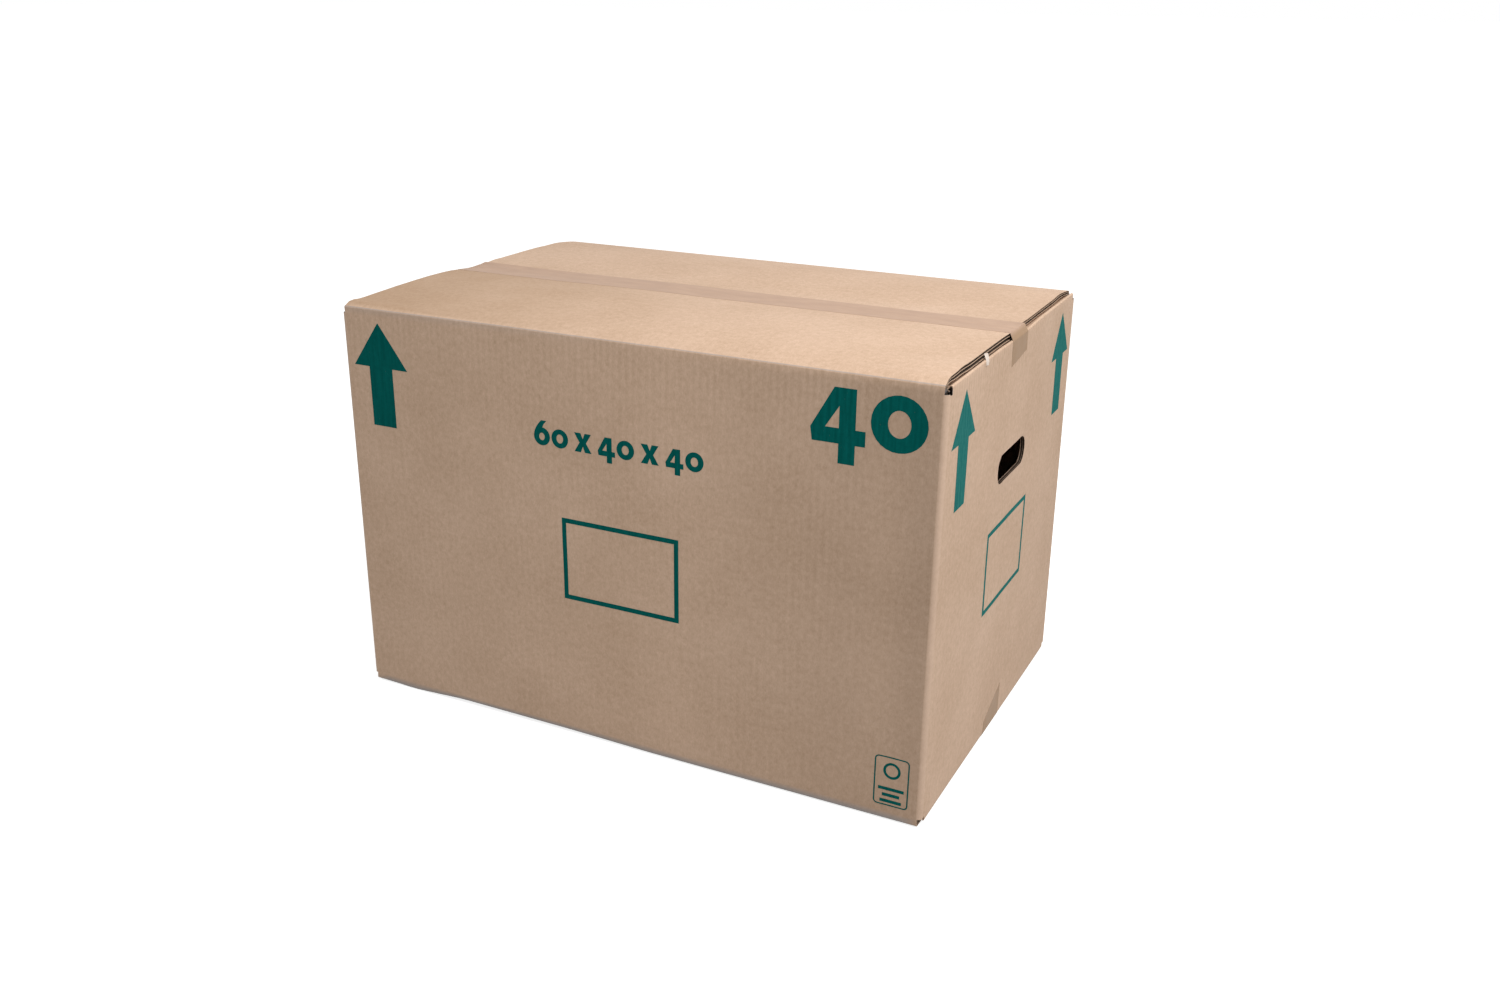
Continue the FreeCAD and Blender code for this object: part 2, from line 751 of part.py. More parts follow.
def cross_outline():
    middle = CROSS_WIDTH / 2
    arm = CROSS_ARM
    notch = arm / 2
    outside = [
        (0, 0), (arm, 0), (middle, 0.5 - notch), (CROSS_WIDTH - arm, 0), (CROSS_WIDTH, 0),
        (middle + notch, 0.5), (CROSS_WIDTH, 1), (CROSS_WIDTH - arm, 1), (middle, 0.5 + notch),
        (arm, 1), (0, 1), (middle - notch, 0.5)]
    return outside, []


FIGURES = {
    "0": (zero_outline, 1.0),
    "4": (four_outline, FOUR_WIDTH),
    "6": (six_outline, SIX_WIDTH),
    "x": (cross_outline, CROSS_WIDTH),
}


def enlarge(outline, s, z, scale):
    points = []
    for point in outline:
        if isinstance(point[0], tuple):
            points.append(tuple((s + scale * a, z + scale * b) for a, b in point))
        else:
            points.append((s + scale * point[0], z + scale * point[1]))
    return points


def print_line(text, start, base, height, gap, space):
    """A line of figures that starts at s = start."""
    solids = []
    s = start
    for figure in text:
        draw, width = FIGURES[figure]
        before = space - gap if figure == "x" else 0
        s += before
        outside, holes = draw()
        holes = [enlarge(hole, s, base, height) for hole in holes]
        solids.append(print_solid(enlarge(outside, s, base, height), on_long_wall, holes))
        s += width * height + gap + before
    return solids


def line_width(text, height, gap, space):
    width = -gap
    for figure in text:
        width += FIGURES[figure][1] * height + gap
        if figure == "x":
            width += 2 * (space - gap)
    return width


def print_numbers():
    """The outside size in centimetres, and the length of the end walls."""
    line = "60x40x40"
    height = size("text_size")
    gap = size("text_gap")
    space = size("text_space")
    start = -line_width(line, height, gap, space) / 2
    solids = print_line(line, start, size("text_base"), height, gap, space)
    large = size("large_size")
    large_gap = size("large_gap")
    right = number(HALF_LENGTH) - size("large_inset")
    start = right - line_width("40", large, large_gap, large_gap)
    return solids + print_line("40", start, size("large_base"), large, large_gap, large_gap)


# The small mark: ring radius as a share of its width, the ring's centre below
# the frame in ring radii, rows of bars and air in the height, bars from below

MARK_RING = 0.25
MARK_RING_DROP = 1.7
MARK_ROWS = 16
MARK_BARS = (0.62, 0.5, 0.74)


def print_mark():
    """A plain framed mark: a ring above three bars."""
    right = number(HALF_LENGTH) - size("mark_inset")
    left = right - size("mark_width")
    low = size("mark_foot")
    high = low + size("mark_height")
    line = size("mark_line")
    radius = size("mark_radius")
    inner = rounded_rectangle(left + line, right - line, low + line, high - line, radius - line)
    solids = [print_solid(rounded_rectangle(left, right, low, high, radius), on_long_wall, [inner])]
    centre = (left + right) / 2
    ring = MARK_RING * size("mark_width")
    ring_height = high - MARK_RING_DROP * ring
    solids.append(print_solid(
        disc(centre, ring_height, ring), on_long_wall, [disc(centre, ring_height, ring - 2 * line)]))
    bar_height = size("mark_height") / MARK_ROWS
    for row, share in enumerate(MARK_BARS):
        half = share * size("mark_width") / 2
        foot = low + (2 * row + 1) * bar_height
        solids.append(print_solid(
            rectangle(centre - half, centre + half, foot, foot + bar_height), on_long_wall))
    return solids


def make_print(name, solids):
    item = DOC.addObject("Part::Feature", name)
    item.Shape = Part.makeCompound(solids)
    return item


def make_turned(name, source):
    """The same print on the opposite wall, turned half round the box."""
    item = DOC.addObject("Part::Feature", name)
    shape = source.Shape.copy()
    shape.rotate(FreeCAD.Vector(0, 0, 0), FreeCAD.Vector(0, 0, 1), 180)
    item.Shape = Part.makeCompound(shape.Solids)
    return item


def make_long_print():
    arrow = print_arrow(size("long_arrow_inset") - number(HALF_LENGTH), on_long_wall)
    solids = [arrow, print_frame(on_long_wall)] + print_numbers() + print_mark()
    return make_print("front_print", solids)


def make_end_print():
    place_of_arrow = number(HALF_WIDTH) - size("end_arrow_inset")
    solids = [
        print_arrow(-place_of_arrow, on_end_wall),
        print_arrow(place_of_arrow, on_end_wall),
        print_frame(on_end_wall),
    ]
    return make_print("right_end_print", solids)


def make_paper_scrap():
    """A scrap of paper that stands on the end fold, against the right flap end."""
    return make_box(
        "paper_scrap", "sizes.scrap_thickness", "sizes.scrap_width", "sizes.scrap_height",
        FLAP_END, "-sizes.scrap_offset - sizes.scrap_width / 2", END_TOP)


def make_pieces():
    front = make_long_print()
    right = make_end_print()
    return {
        "carton": make_carton(),
        "top_tape": make_top_tape(),
        "bottom_tape": make_bottom_tape(),
        "front_print": front,
        "back_print": make_turned("back_print", front),
        "right_end_print": right,
        "left_end_print": make_turned("left_end_print", right),
        "paper_scrap": make_paper_scrap(),
    }


def check(pieces):
    for item in DOC.Objects:
        if "Invalid" in item.State or "Error" in item.State:
            raise RuntimeError("%s was not built: %s" % (item.Name, item.State))
    for name, item in pieces.items():
        shape = item.Shape
        if shape.isNull() or not shape.isValid() or not shape.Solids:
            raise RuntimeError("%s has no valid solid" % name)
        print("%s: %d solids, %.1f mm3" % (name, len(shape.Solids), shape.Volume))
    if len(pieces["carton"].Shape.Solids) != 1:
        raise RuntimeError("the carton is not in one piece")


def export(pieces):
    os.makedirs("parts", exist_ok=True)
    for name, item in pieces.items():
        item.Shape.exportStep("parts/%s.step" % name)


PIECES = make_pieces()
DOC.recompute()
for node_name, piece in PIECES.items():
    piece.Label = node_name
check(PIECES)
export(PIECES)
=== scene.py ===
import math

import bmesh
import bpy
from mathutils import Matrix, Vector, noise


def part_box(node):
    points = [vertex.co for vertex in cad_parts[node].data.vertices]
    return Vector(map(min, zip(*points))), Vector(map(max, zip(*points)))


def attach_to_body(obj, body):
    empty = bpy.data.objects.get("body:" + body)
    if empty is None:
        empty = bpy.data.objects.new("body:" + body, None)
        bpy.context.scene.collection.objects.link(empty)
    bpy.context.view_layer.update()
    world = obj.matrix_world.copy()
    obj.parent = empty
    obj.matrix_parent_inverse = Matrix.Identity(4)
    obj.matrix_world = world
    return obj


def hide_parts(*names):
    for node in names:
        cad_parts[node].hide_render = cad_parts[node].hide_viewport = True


# A closed moving box in double wall board. All lengths are in metres, in the
# frame of the solids: X along the long walls, the printed long wall faces -Y.

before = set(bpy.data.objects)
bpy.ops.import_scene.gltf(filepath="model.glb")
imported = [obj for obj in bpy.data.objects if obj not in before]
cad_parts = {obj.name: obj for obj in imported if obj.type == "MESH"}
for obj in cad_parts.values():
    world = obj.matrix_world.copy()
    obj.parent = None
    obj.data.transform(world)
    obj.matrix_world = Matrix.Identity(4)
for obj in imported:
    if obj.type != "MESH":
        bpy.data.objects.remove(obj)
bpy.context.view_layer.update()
BOX_LOW, BOX_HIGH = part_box("carton")

LENGTH = BOX_HIGH.x - BOX_LOW.x
WIDTH = BOX_HIGH.y - BOX_LOW.y
HEIGHT = BOX_HIGH.z
MM = 0.001

# Board
BOARD = 6.6 * MM
LINER = 0.6 * MM
MIDDLE_LINER = 0.5 * MM
FINE_FLUTE = 2.1 * MM
FINE_PITCH = 6.5 * MM
COARSE_PITCH = 7.9 * MM
EDGE_DEPTH = 5 * MM
SCORE_BOARD = 3 * MM
LAY_GAP = 0.4 * MM

# Folds and flaps
CORNER_RADIUS = 4 * MM
FOLD_RIM = 1.2 * MM
FOLD_RADIUS = 1.8 * MM
END_FOLD_RADIUS = 1.6 * MM
LIP = 3.0 * MM
LIP_REACH = 1.9 * MM
LONG_FLAP_END = LENGTH / 2 - 3.6 * MM
BACK_FLAP_INSET = 2.7 * MM
BACK_FLAP_CRUSH = 1.6 * MM
END_FLAP_SIDE = WIDTH / 2 - 8.5 * MM
END_FLAP_TIP = LENGTH / 2 - 198 * MM
SEAM_GAP = 1 * MM
NEAR = 1e-6
SEAM_FLAT = 26 * MM
TOP_SHAPE = {"start": 95 * MM, "end": 125 * MM, "dip": 2.2 * MM, "drop": 5.8 * MM}
BOTTOM_SHAPE = {"start": 60 * MM, "end": 150 * MM, "dip": 0.8 * MM, "drop": 3.6 * MM}
END_TOP = HEIGHT - TOP_SHAPE["drop"] - SCORE_BOARD - LAY_GAP
END_BOTTOM = BOTTOM_SHAPE["dip"] + BOARD + LAY_GAP
SLOT_TOP = END_TOP - 4.2 * MM
SLOT_BOTTOM = END_BOTTOM + 5 * MM
HANG = 4.3 * MM
HANG_REACH = 40 * MM

# Glued tab of the closing joint
TAB_WIDTH = 38 * MM
TAB_MARGIN = 22 * MM
JOINT_CRACK = 0.2 * MM

# Hand holes
HOLE_HALF_WIDTH = 43.2 * MM
HOLE_BOTTOM = 265.5 * MM
HOLE_TOP = HOLE_BOTTOM + 26.6 * MM
HOLE_RADIUS = 11.6 * MM
HOLE_CRUSH = 2.6 * MM
HOLE_KERF = 0.6 * MM
WINDOW_HALF = 60 * MM
WINDOW_LOW = 240 * MM
WINDOW_HIGH = 318 * MM

# Grid
CELL = 12.5 * MM
FOLD_STEPS = 6
FLAP_STEPS = 21


def smooth(low, high, value):
    share = min(max((value - low) / (high - low), 0.0), 1.0)
    return share * share * (3 - 2 * share)


def spread(start, stop, step, keep=()):
    """Values from start to stop about a step apart, through every kept value."""
    marks = sorted({start, stop, *keep})
    values = [marks[0]]
    for low, high in zip(marks, marks[1:]):
        count = max(1, round((high - low) / step))
        values += [low + (high - low) * n / count for n in range(1, count + 1)]
    return values


def soft_noise(x, y, seed, scale):
    return noise.noise(Vector((x * scale, y * scale, seed)))


def hump(value, place, reach):
    """One at a place, fading to nothing on both sides of it."""
    return math.exp(-((value - place) / reach) ** 2)


# Panels in the order of the blank, from the raw edge of the left end wall.
# Along a panel, "a" runs to the right of someone who faces it

PANELS = {
    "left": {"turn": -math.pi / 2, "out": LENGTH / 2, "half": WIDTH / 2, "seed": 3.1},
    "front": {"turn": 0.0, "out": WIDTH / 2, "half": LENGTH / 2, "seed": 7.7},
    "right": {"turn": math.pi / 2, "out": LENGTH / 2, "half": WIDTH / 2, "seed": 12.4},
    "back": {"turn": math.pi, "out": WIDTH / 2, "half": LENGTH / 2, "seed": 18.9},
}

END_PANELS = ("left", "right")

# How far the middle of each wall stands out, and the size of its soft waves
BELLY = {"left": 1.2 * MM, "front": 1.6 * MM, "right": 1.0 * MM, "back": 1.4 * MM}
WALL_WAVE = 0.7 * MM
WALL_WAVE_SCALES = (9, 23)
FLAP_WAVE = 0.8 * MM
FLAP_WAVE_SCALES = (7, 19)
DENT = 2.2 * MM
DENT_PLACE = 30 * MM
DENT_SPREAD = 20 * MM

# The top flaps: lean towards the left, lift at the seam and beyond it, and the
# ridge across the front flap close to its fold
FLAP_LEAN = 1.0 * MM
SEAM_LIFT = 1.8
FRONT_BEYOND, BACK_BEYOND = 1.5, -0.8
SEAM_DIP, CREST_DIP = -0.2 * MM, -2.2 * MM
RIDGE = 2.4 * MM
RIDGE_PLACE = 190 * MM
RIDGE_SPREAD = 11 * MM
FRONT_FOLD_RISE = 2.3 * MM
BACK_FOLD_RISE = 1.2 * MM
BACK_FOLD_SLOPE = 0.4 * MM

# How far the left and right corners lean, in millimetres for the right ones
LEFT_LEAN = 1.8 * MM
RIGHT_LEAN_FOOT, RIGHT_LEAN_CHANGE = 2.0, 2.7

# How far the top of the end walls and of the corners stands above the solids
END_RISE = 0.8 * MM
END_RISE_BESIDE = 0.7 * MM
CORNER_RISE = 2.3 * MM

# Heights above the plain shape at the left end of the top, by place across it
LEFT_END_LIFT = (
    (-200, -0.8), (-180, -2.2), (-160, -2.2), (-130, 0.0), (-70, 1.4), (-40, 1.3), (-3, -0.4),
    (15, 0.4), (33, 2.8), (120, 3.0), (150, 1.8), (165, 0.8), (200, 0.0))

# How far the front bottom fold sags below its plain height, by place along it
FRONT_SAG = (
    (-300, 1.8), (-270, 2.5), (-250, 3.4), (-225, 2.2), (-190, 0.3), (-60, 0.9),
    (-5, 1.8), (30, 2.4), (300, 2.5))


def along_line(line, place):
    """Value of a line of (place, value) pairs in millimetres, in metres."""
    for (low, low_value), (high, high_value) in zip(line, line[1:]):
        if place <= high * MM:
            share = max((place / MM - low) / (high - low), 0.0)
            return (low_value + (high_value - low_value) * share) * MM
    return line[-1][1] * MM


def to_world(panel, a, out, z):
    """Point of a panel: a along it, out from the middle of the box, z up."""
    turn = PANELS[panel]["turn"]
    return Vector((
        a * math.cos(turn) + out * math.sin(turn),
        a * math.sin(turn) - out * math.cos(turn),
        z))


def wall_bulge(panel, a, z):
    """How far a wall stands out at a place, nothing at its folds."""
    data = PANELS[panel]
    across = 1 - min(abs(a) / data["half"], 1.0) ** 2
    up = max(0.0, 1 - abs(2 * z / HEIGHT - 1) ** 2.4)
    coarse, fine = WALL_WAVE_SCALES
    wave = soft_noise(a, z, data["seed"], coarse) + 0.5 * soft_noise(a, z, data["seed"] + 40, fine)
    dent = 0.0
    if panel == "front":
        near = data["half"] - a
        dent = DENT * up * hump(near, DENT_PLACE, DENT_SPREAD) * smooth(0, DENT_SPREAD, near)
    return across * up * BELLY[panel] + math.sqrt(across * up) * WALL_WAVE * wave - dent


def wall_point(panel, a, z, lift=0.0):
    out = PANELS[panel]["out"] + wall_bulge(panel, a, z) + lift
    return to_world(panel, a, out, z)


def crest_height(shape, u):
    """Outside of a long flap above its crest, at a distance u from the seam."""
    run = (shape["start"] - SEAM_FLAT) / 2
    rise = shape["dip"] / 2
    bend = (run * run + rise * rise) / (2 * rise)
    if u < SEAM_FLAT:
        return -shape["dip"]
    if u < SEAM_FLAT + run:
        return bend - math.sqrt(bend ** 2 - (u - SEAM_FLAT) ** 2) - shape["dip"]
    if u < shape["start"]:
        return math.sqrt(bend ** 2 - (shape["start"] - u) ** 2) - bend
    if u < shape["end"]:
        return 0.0
    radius = shoulder_radius(shape)
    return math.sqrt(radius ** 2 - (u - shape["end"]) ** 2) - radius


def shoulder_radius(shape):
    span = WIDTH / 2 - FOLD_RADIUS - shape["end"]
    reach = shape["drop"] + FOLD_RADIUS
    return (span ** 2 + reach ** 2 - FOLD_RADIUS ** 2) / (2 * (reach - FOLD_RADIUS))


def flap_end_dip(x, u, side):
    """Towards their ends the top flaps are flatter, with a lower crest."""
    dip = SEAM_DIP + (CREST_DIP - SEAM_DIP) * smooth(SEAM_FLAT, 90 * MM, u)
    dip -= dip * smooth(130 * MM, 166 * MM, u)
    ridge = RIDGE * hump(u, RIDGE_PLACE, RIDGE_SPREAD) * smooth(0, 8 * MM, WIDTH / 2 - u)
    return (dip + (ridge if side < 0 else 0.0)) * smooth(0.17, 0.285, abs(x))


def top_shift(x, u, side):
    """How far a top flap is off its plain shape: waves, ends, sunken fold."""
    free = smooth(0.0, 0.05, WIDTH / 2 - u)
    coarse, fine = FLAP_WAVE_SCALES
    wave = soft_noise(x, u * side, 31.0, coarse) + 0.4 * soft_noise(x, u * side, 5.0, fine)
    lean = -FLAP_LEAN * smooth(0.05, 0.3, -x) * free
    ends = 1 - 0.75 * smooth(0.22, 0.29, abs(x))
    beyond = FRONT_BEYOND if side < 0 else BACK_BEYOND
    lift = (SEAM_LIFT + beyond * smooth(0.0, 0.05, u)) * MM
    lift += (fold_shift(x, side) - lift) * smooth(0.17, WIDTH / 2, u)
    return FLAP_WAVE * wave * free * ends + lean + flap_end_dip(x, u, side) + lift + left_lift(x, u * side)


def fold_shift(x, side):
    """How far the long top folds stand above their plain height."""
    if side < 0:
        return FRONT_FOLD_RISE
    return BACK_FOLD_RISE + BACK_FOLD_SLOPE * 2 * x / LENGTH


def left_lift(x, y):
    return along_line(LEFT_END_LIFT, y) * smooth(0.1, 0.29, -x)


def fold_rise(panel, a):
    """How far the top fold of a wall is off its plain height."""
    if panel == "front":
        return fold_shift(a, -1) + left_lift(a, -WIDTH / 2)
    if panel == "back":
        return fold_shift(-a, 1) + left_lift(-a, WIDTH / 2)
    return END_RISE + END_RISE_BESIDE * smooth(0.03, 0.08, a if panel == "right" else -a)


def bottom_hang(z, out=LENGTH):
    """The walls hang a little beside the long bottom flaps."""
    share = 1 - smooth(SLOT_BOTTOM, SLOT_BOTTOM + HANG_REACH, z)
    return -HANG * share * smooth(LONG_FLAP_END, LENGTH / 2 - 1 * MM, out)


def fold_lip(a, out):
    """How far the rolled top fold of an end wall stands above its flap."""
    height = LIP * (0.7 + 0.3 * smooth(26 * MM, 70 * MM, abs(a)))
    crest = LENGTH / 2 - END_FOLD_RADIUS - 0.4 * MM
    return height * smooth(crest - LIP_REACH, crest, out)


def settled(point):
    """The corners of the box lean a little."""
    shift = -LEFT_LEAN * smooth(0.2, 0.3, -point.x) * smooth(-0.2, 0.2, -point.y)
    lean = (RIGHT_LEAN_FOOT - RIGHT_LEAN_CHANGE * point.z / HEIGHT) * MM
    shift += lean * smooth(0.2, 0.3, point.x) * smooth(-0.2, 0.2, point.y)
    return point + Vector((shift, 0, 0))


def top_height(x, y):
    """Outside of the top flaps, where the tape bridges the seam."""
    share = smooth(-12 * MM, 12 * MM, y)
    shift = top_shift(x, abs(y), -1) * (1 - share) + top_shift(x, abs(y), 1) * share
    return HEIGHT + crest_height(TOP_SHAPE, abs(y)) + shift


# Rows of a flap, from the foot of the corner slots to its tip. Each row is
# (out, z) on the outside, (out, z) on the inside and the length of board used


def arc_angles():
    return [math.pi / 2 * n / FOLD_STEPS for n in range(1, FOLD_STEPS + 1)]


def measured(rows):
    """Adds to each row how far it lies along the outside."""
    total = 0.0
    result = []
    for number, row in enumerate(rows):
        if number:
            last = rows[number - 1][0]
            total += math.hypot(row[0][0] - last[0], row[0][1] - last[1])
        result.append((*row, total))
    return result


def long_rows(shape, level, up, foot):
    wall = WIDTH / 2
    inner = wall - BOARD
    radius = shoulder_radius(shape)
    centre_out = wall - FOLD_RADIUS
    centre_h = -shape["drop"] - FOLD_RADIUS
    scale = radius / (radius - FOLD_RADIUS)
    tangent = shape["end"] + (centre_out - shape["end"]) * scale
    lean = math.asin((tangent - centre_out) / FOLD_RADIUS)
    corner_h = -shape["drop"] - SCORE_BOARD
    inner_start = corner_h - 0.3 * MM
    rows = [
        ((wall, foot), (inner, foot)),
        ((wall, level + up * centre_h), (inner, level + up * inner_start))]
    for angle in arc_angles():
        share = angle / (math.pi / 2)
        bend = share * (math.pi / 2 - lean)
        out = centre_out + FOLD_RADIUS * math.cos(bend)
        height = centre_h + FOLD_RADIUS * math.sin(bend)
        inner_h = inner_start + (corner_h - inner_start) * share
        rows.append(((out, level + up * height), (inner, level + up * inner_h)))
    stop = SEAM_GAP / 2
    for n in range(1, FLAP_STEPS + 1):
        u = tangent - FOLD_RIM + (stop + FOLD_RIM - tangent) * ((n - 1) / (FLAP_STEPS - 1)) ** 1.25
        inner_u = min(u, inner - 0.5 * MM)
        outer_h = crest_height(shape, u)
        inner_h = outer_h - BOARD
        if u > shape["end"]:
            share = (inner_u - shape["end"]) / (inner - shape["end"])
            inner_h = share * (BOARD + corner_h) - BOARD
        rows.append(((u, level + up * outer_h), (inner_u, level + up * inner_h)))
    return measured(rows)


def end_rows(crest, up, foot):
    wall = LENGTH / 2
    inner = wall - BOARD
    centre_z = crest - up * END_FOLD_RADIUS
    inner_z = crest - up * BOARD
    rows = [((wall, foot), (inner, inner_z - up * 0.9 * MM))]
    rows.append(((wall, centre_z), (inner, inner_z - up * 0.6 * MM)))
    for angle in arc_angles():
        share = angle / (math.pi / 2)
        out = wall - END_FOLD_RADIUS * (1 - math.cos(angle))
        z = centre_z + up * END_FOLD_RADIUS * math.sin(angle)
        rows.append(((out, z), (inner - 0.3 * MM * share, inner_z - up * 0.5 * MM * (1 - share))))
    start = wall - END_FOLD_RADIUS - 0.3 * MM
    for n in range(1, FLAP_STEPS + 1):
        out = start + (END_FLAP_TIP - start) * ((n - 1) / (FLAP_STEPS - 1)) ** 1.55
        rows.append(((out, crest), (min(out, inner - (0.5 + 0.3 * n) * MM), inner_z)))
    return measured(rows)


ROWS = {
    ("long", 1): long_rows(TOP_SHAPE, HEIGHT, 1, SLOT_TOP),
    ("long", -1): long_rows(BOTTOM_SHAPE, 0.0, -1, SLOT_BOTTOM),
    ("end", 1): end_rows(END_TOP, 1, SLOT_TOP),
    ("end", -1): end_rows(END_BOTTOM, -1, SLOT_BOTTOM),
}
FLAP_ROWS = FOLD_STEPS + FLAP_STEPS + 1
WINDOW_ROWS = 8
WINDOW_COLUMNS = 16


def refine_window(values, low, high, count):
    """The values with equal steps in place of those from low to high."""
    outside = [v for v in values if v < low - NEAR or v > high + NEAR]
    inside = [low + (high - low) * n / count for n in range(count + 1)]
    return sorted(outside + inside)


WALL_ROWS = spread(
    SLOT_BOTTOM, SLOT_TOP, CELL,
    (SLOT_BOTTOM + FOLD_RIM, SLOT_BOTTOM + TAB_MARGIN, WINDOW_LOW, WINDOW_HIGH,
     SLOT_TOP - TAB_MARGIN, SLOT_TOP - FOLD_RIM))
WALL_ROWS = refine_window(WALL_ROWS, WINDOW_LOW, WINDOW_HIGH, WINDOW_ROWS)

# Each row of the grid: ("flap", side, step) or ("wall", height)
GRID_ROWS = [("flap", -1, step) for step in range(FLAP_ROWS, 0, -1)]
GRID_ROWS += [("wall", z) for z in WALL_ROWS]
GRID_ROWS += [("flap", 1, step) for step in range(1, FLAP_ROWS + 1)]


class Sheet:
    """A thick sheet of board: nodes with an outside and an inside, and cells."""

    def __init__(self):
        self.outer = []
        self.inner = []
        self.blank = []
        self.fold = []
        self.shade = []
        self.cells = []
        self.crushed = set()

    def add_node(self, outer, inner, blank, fold=0.0, shade=0.0):
        self.outer.append(outer)
        self.inner.append(inner)
        self.blank.append(blank)
        self.fold.append(fold)
        self.shade.append(shade)
        return len(self.outer) - 1

    def add_cell(self, a, b, c, d):
        self.cells.append((a, b, c, d))

    def border(self):
        """Border edges as {(start, end): (far end of start, far end of end)}."""
        edges = {}
        for a, b, c, d in self.cells:
            for start, end, far_end, far_start in ((a, b, c, d), (b, c, d, a), (c, d, a, b), (d, a, b, c)):
                if (end, start) in edges:
                    del edges[(end, start)]
                else:
                    edges[(start, end)] = (far_start, far_end)
        return edges


# Columns of the grid: outside and inside place, panel, and place along the blank


def panel_columns(panel):
    data = PANELS[panel]
    flat = data["half"] - CORNER_RADIUS
    low, high = -flat, flat
    if panel == "left":
        low = -data["half"]
    if panel == "back":
        high = data["half"] - BOARD - JOINT_CRACK - CORNER_RADIUS
    keep = [low + FOLD_RIM, high - FOLD_RIM]
    if panel in END_PANELS:
        keep += [-END_FLAP_SIDE, -WINDOW_HALF, WINDOW_HALF, END_FLAP_SIDE]
    values = spread(low, high, CELL, keep)
    if panel in END_PANELS:
        values = refine_window(values, -WINDOW_HALF, WINDOW_HALF, WINDOW_COLUMNS)
    return values


def corner_columns(panel):
    """Steps of the vertical fold that follows a panel."""
    end = panel_columns(panel)[-1]
    columns = []
    for n in range(1, FOLD_STEPS):
        angle = math.pi / 2 * n / FOLD_STEPS
        columns.append({
            "kind": "corner", "panel": panel, "angle": angle,
            "a": end + CORNER_RADIUS * math.sin(angle),
            "drop": CORNER_RADIUS * (1 - math.cos(angle)),
            "inner_a": end + CORNER_RADIUS - BOARD + 0.4 * MM * (angle - math.pi / 4),
            "step": CORNER_RADIUS * angle,
        })
    return columns


def make_columns():
    columns = []
    along = 0.0
    for panel in PANELS:
        values = panel_columns(panel)
        for a in values:
            columns.append({"kind": "panel", "panel": panel, "a": a, "s": along + a - values[0]})
        along += values[-1] - values[0]
        for column in corner_columns(panel):
            column["s"] = along + column["step"]
            columns.append(column)
        along += CORNER_RADIUS * math.pi / 2
    start = WIDTH / 2 - CORNER_RADIUS
    stop = WIDTH / 2 - BOARD - TAB_WIDTH
    for y in reversed(spread(stop, start, CELL)):
        columns.append({"kind": "tab", "panel": "back", "y": y, "s": along + start - y})
    return columns


COLUMNS = make_columns()


def stretched(column, panel_kind):
    """Flap columns spread a little to the true ends of the flap."""
    a = column["a"]
    if panel_kind == "end":
        return a
    values = panel_columns(column["panel"])
    end = values[-1] if a > 0 else values[0]
    inset = BACK_FLAP_INSET if column["panel"] == "back" else 0.0
    target = math.copysign(LONG_FLAP_END - inset, a)
    return a + (target - end) * smooth(0.7, 1.0, abs(a / end))


def flap_node(column, side, step):
    panel = column["panel"]
    kind = "end" if panel in END_PANELS else "long"
    outer, inner, used = ROWS[(kind, side)][step]
    a = stretched(column, kind)
    outer_shift = inner_shift = 0.0
    if kind == "long" and side > 0:
        turned = 1 if panel == "back" else -1
        outer_shift = inner_shift = top_shift(-a * turned, min(outer[0], WIDTH / 2), turned)
        if panel == "back":
            near_end = smooth(LONG_FLAP_END - 40 * MM, LONG_FLAP_END, abs(a))
            inner_shift += BACK_FLAP_CRUSH * near_end * smooth(0, 30 * MM, WIDTH / 2 - outer[0])
    elif kind == "end" and side > 0:
        inner_shift = fold_rise(panel, a) * smooth(LENGTH / 2 - 8.5 * MM, LENGTH / 2 - 4.5 * MM, outer[0])
        outer_shift = inner_shift + fold_lip(a, outer[0])
    elif kind == "end":
        outer_shift = bottom_hang(outer[1], outer[0])
    elif panel == "front":
        level = BOTTOM_SHAPE["dip"]
        share = min(max(outer[1] - level, 0.0) / (BOTTOM_SHAPE["drop"] - level), 1.0)
        outer_shift = inner_shift = -along_line(FRONT_SAG, a) * share
    outer_point = to_world(panel, a, outer[0], outer[1] + outer_shift)
    return outer_point, to_world(panel, a, inner[0], inner[1] + inner_shift), used


def wall_node(column, z):
    panel = column["panel"]
    if column["kind"] == "tab":
        x = JOINT_CRACK + BOARD - LENGTH / 2
        return Vector((x, column["y"], z)), Vector((x + BOARD, column["y"], z))
    if column["kind"] == "corner":
        out = PANELS[panel]["out"]
        up = CORNER_RISE * smooth(0.8 * SLOT_TOP, SLOT_TOP, z)
        outer = to_world(panel, column["a"], out - column["drop"], z + bottom_hang(z) + up)
        spare = 0.4 * MM * (math.pi / 4 - column["angle"])
        inner = to_world(panel, column["inner_a"], out - BOARD + spare, z + up)
        return outer, inner
    a = column["a"]
    rise = Vector((0, 0, fold_rise(panel, a) * smooth(0.8 * SLOT_TOP, SLOT_TOP, z)))
    outer = wall_point(panel, a, z + bottom_hang(z)) + rise
    inner_z = z
    if panel in END_PANELS and abs(a) <= END_FLAP_SIDE + NEAR:
        if z == WALL_ROWS[-1]:
            inner_z = ROWS[("end", 1)][0][1][1]
        inner_z = max(inner_z, ROWS[("end", -1)][0][1][1] + 0.15 * (z - WALL_ROWS[0]))
    inner = wall_point(panel, a, inner_z, -BOARD) + rise
    return outer, inner


def has_flap(column):
    if column["kind"] != "panel":
        return False
    if column["panel"] in ("front", "back"):
        return True
    return abs(column["a"]) <= END_FLAP_SIDE + NEAR


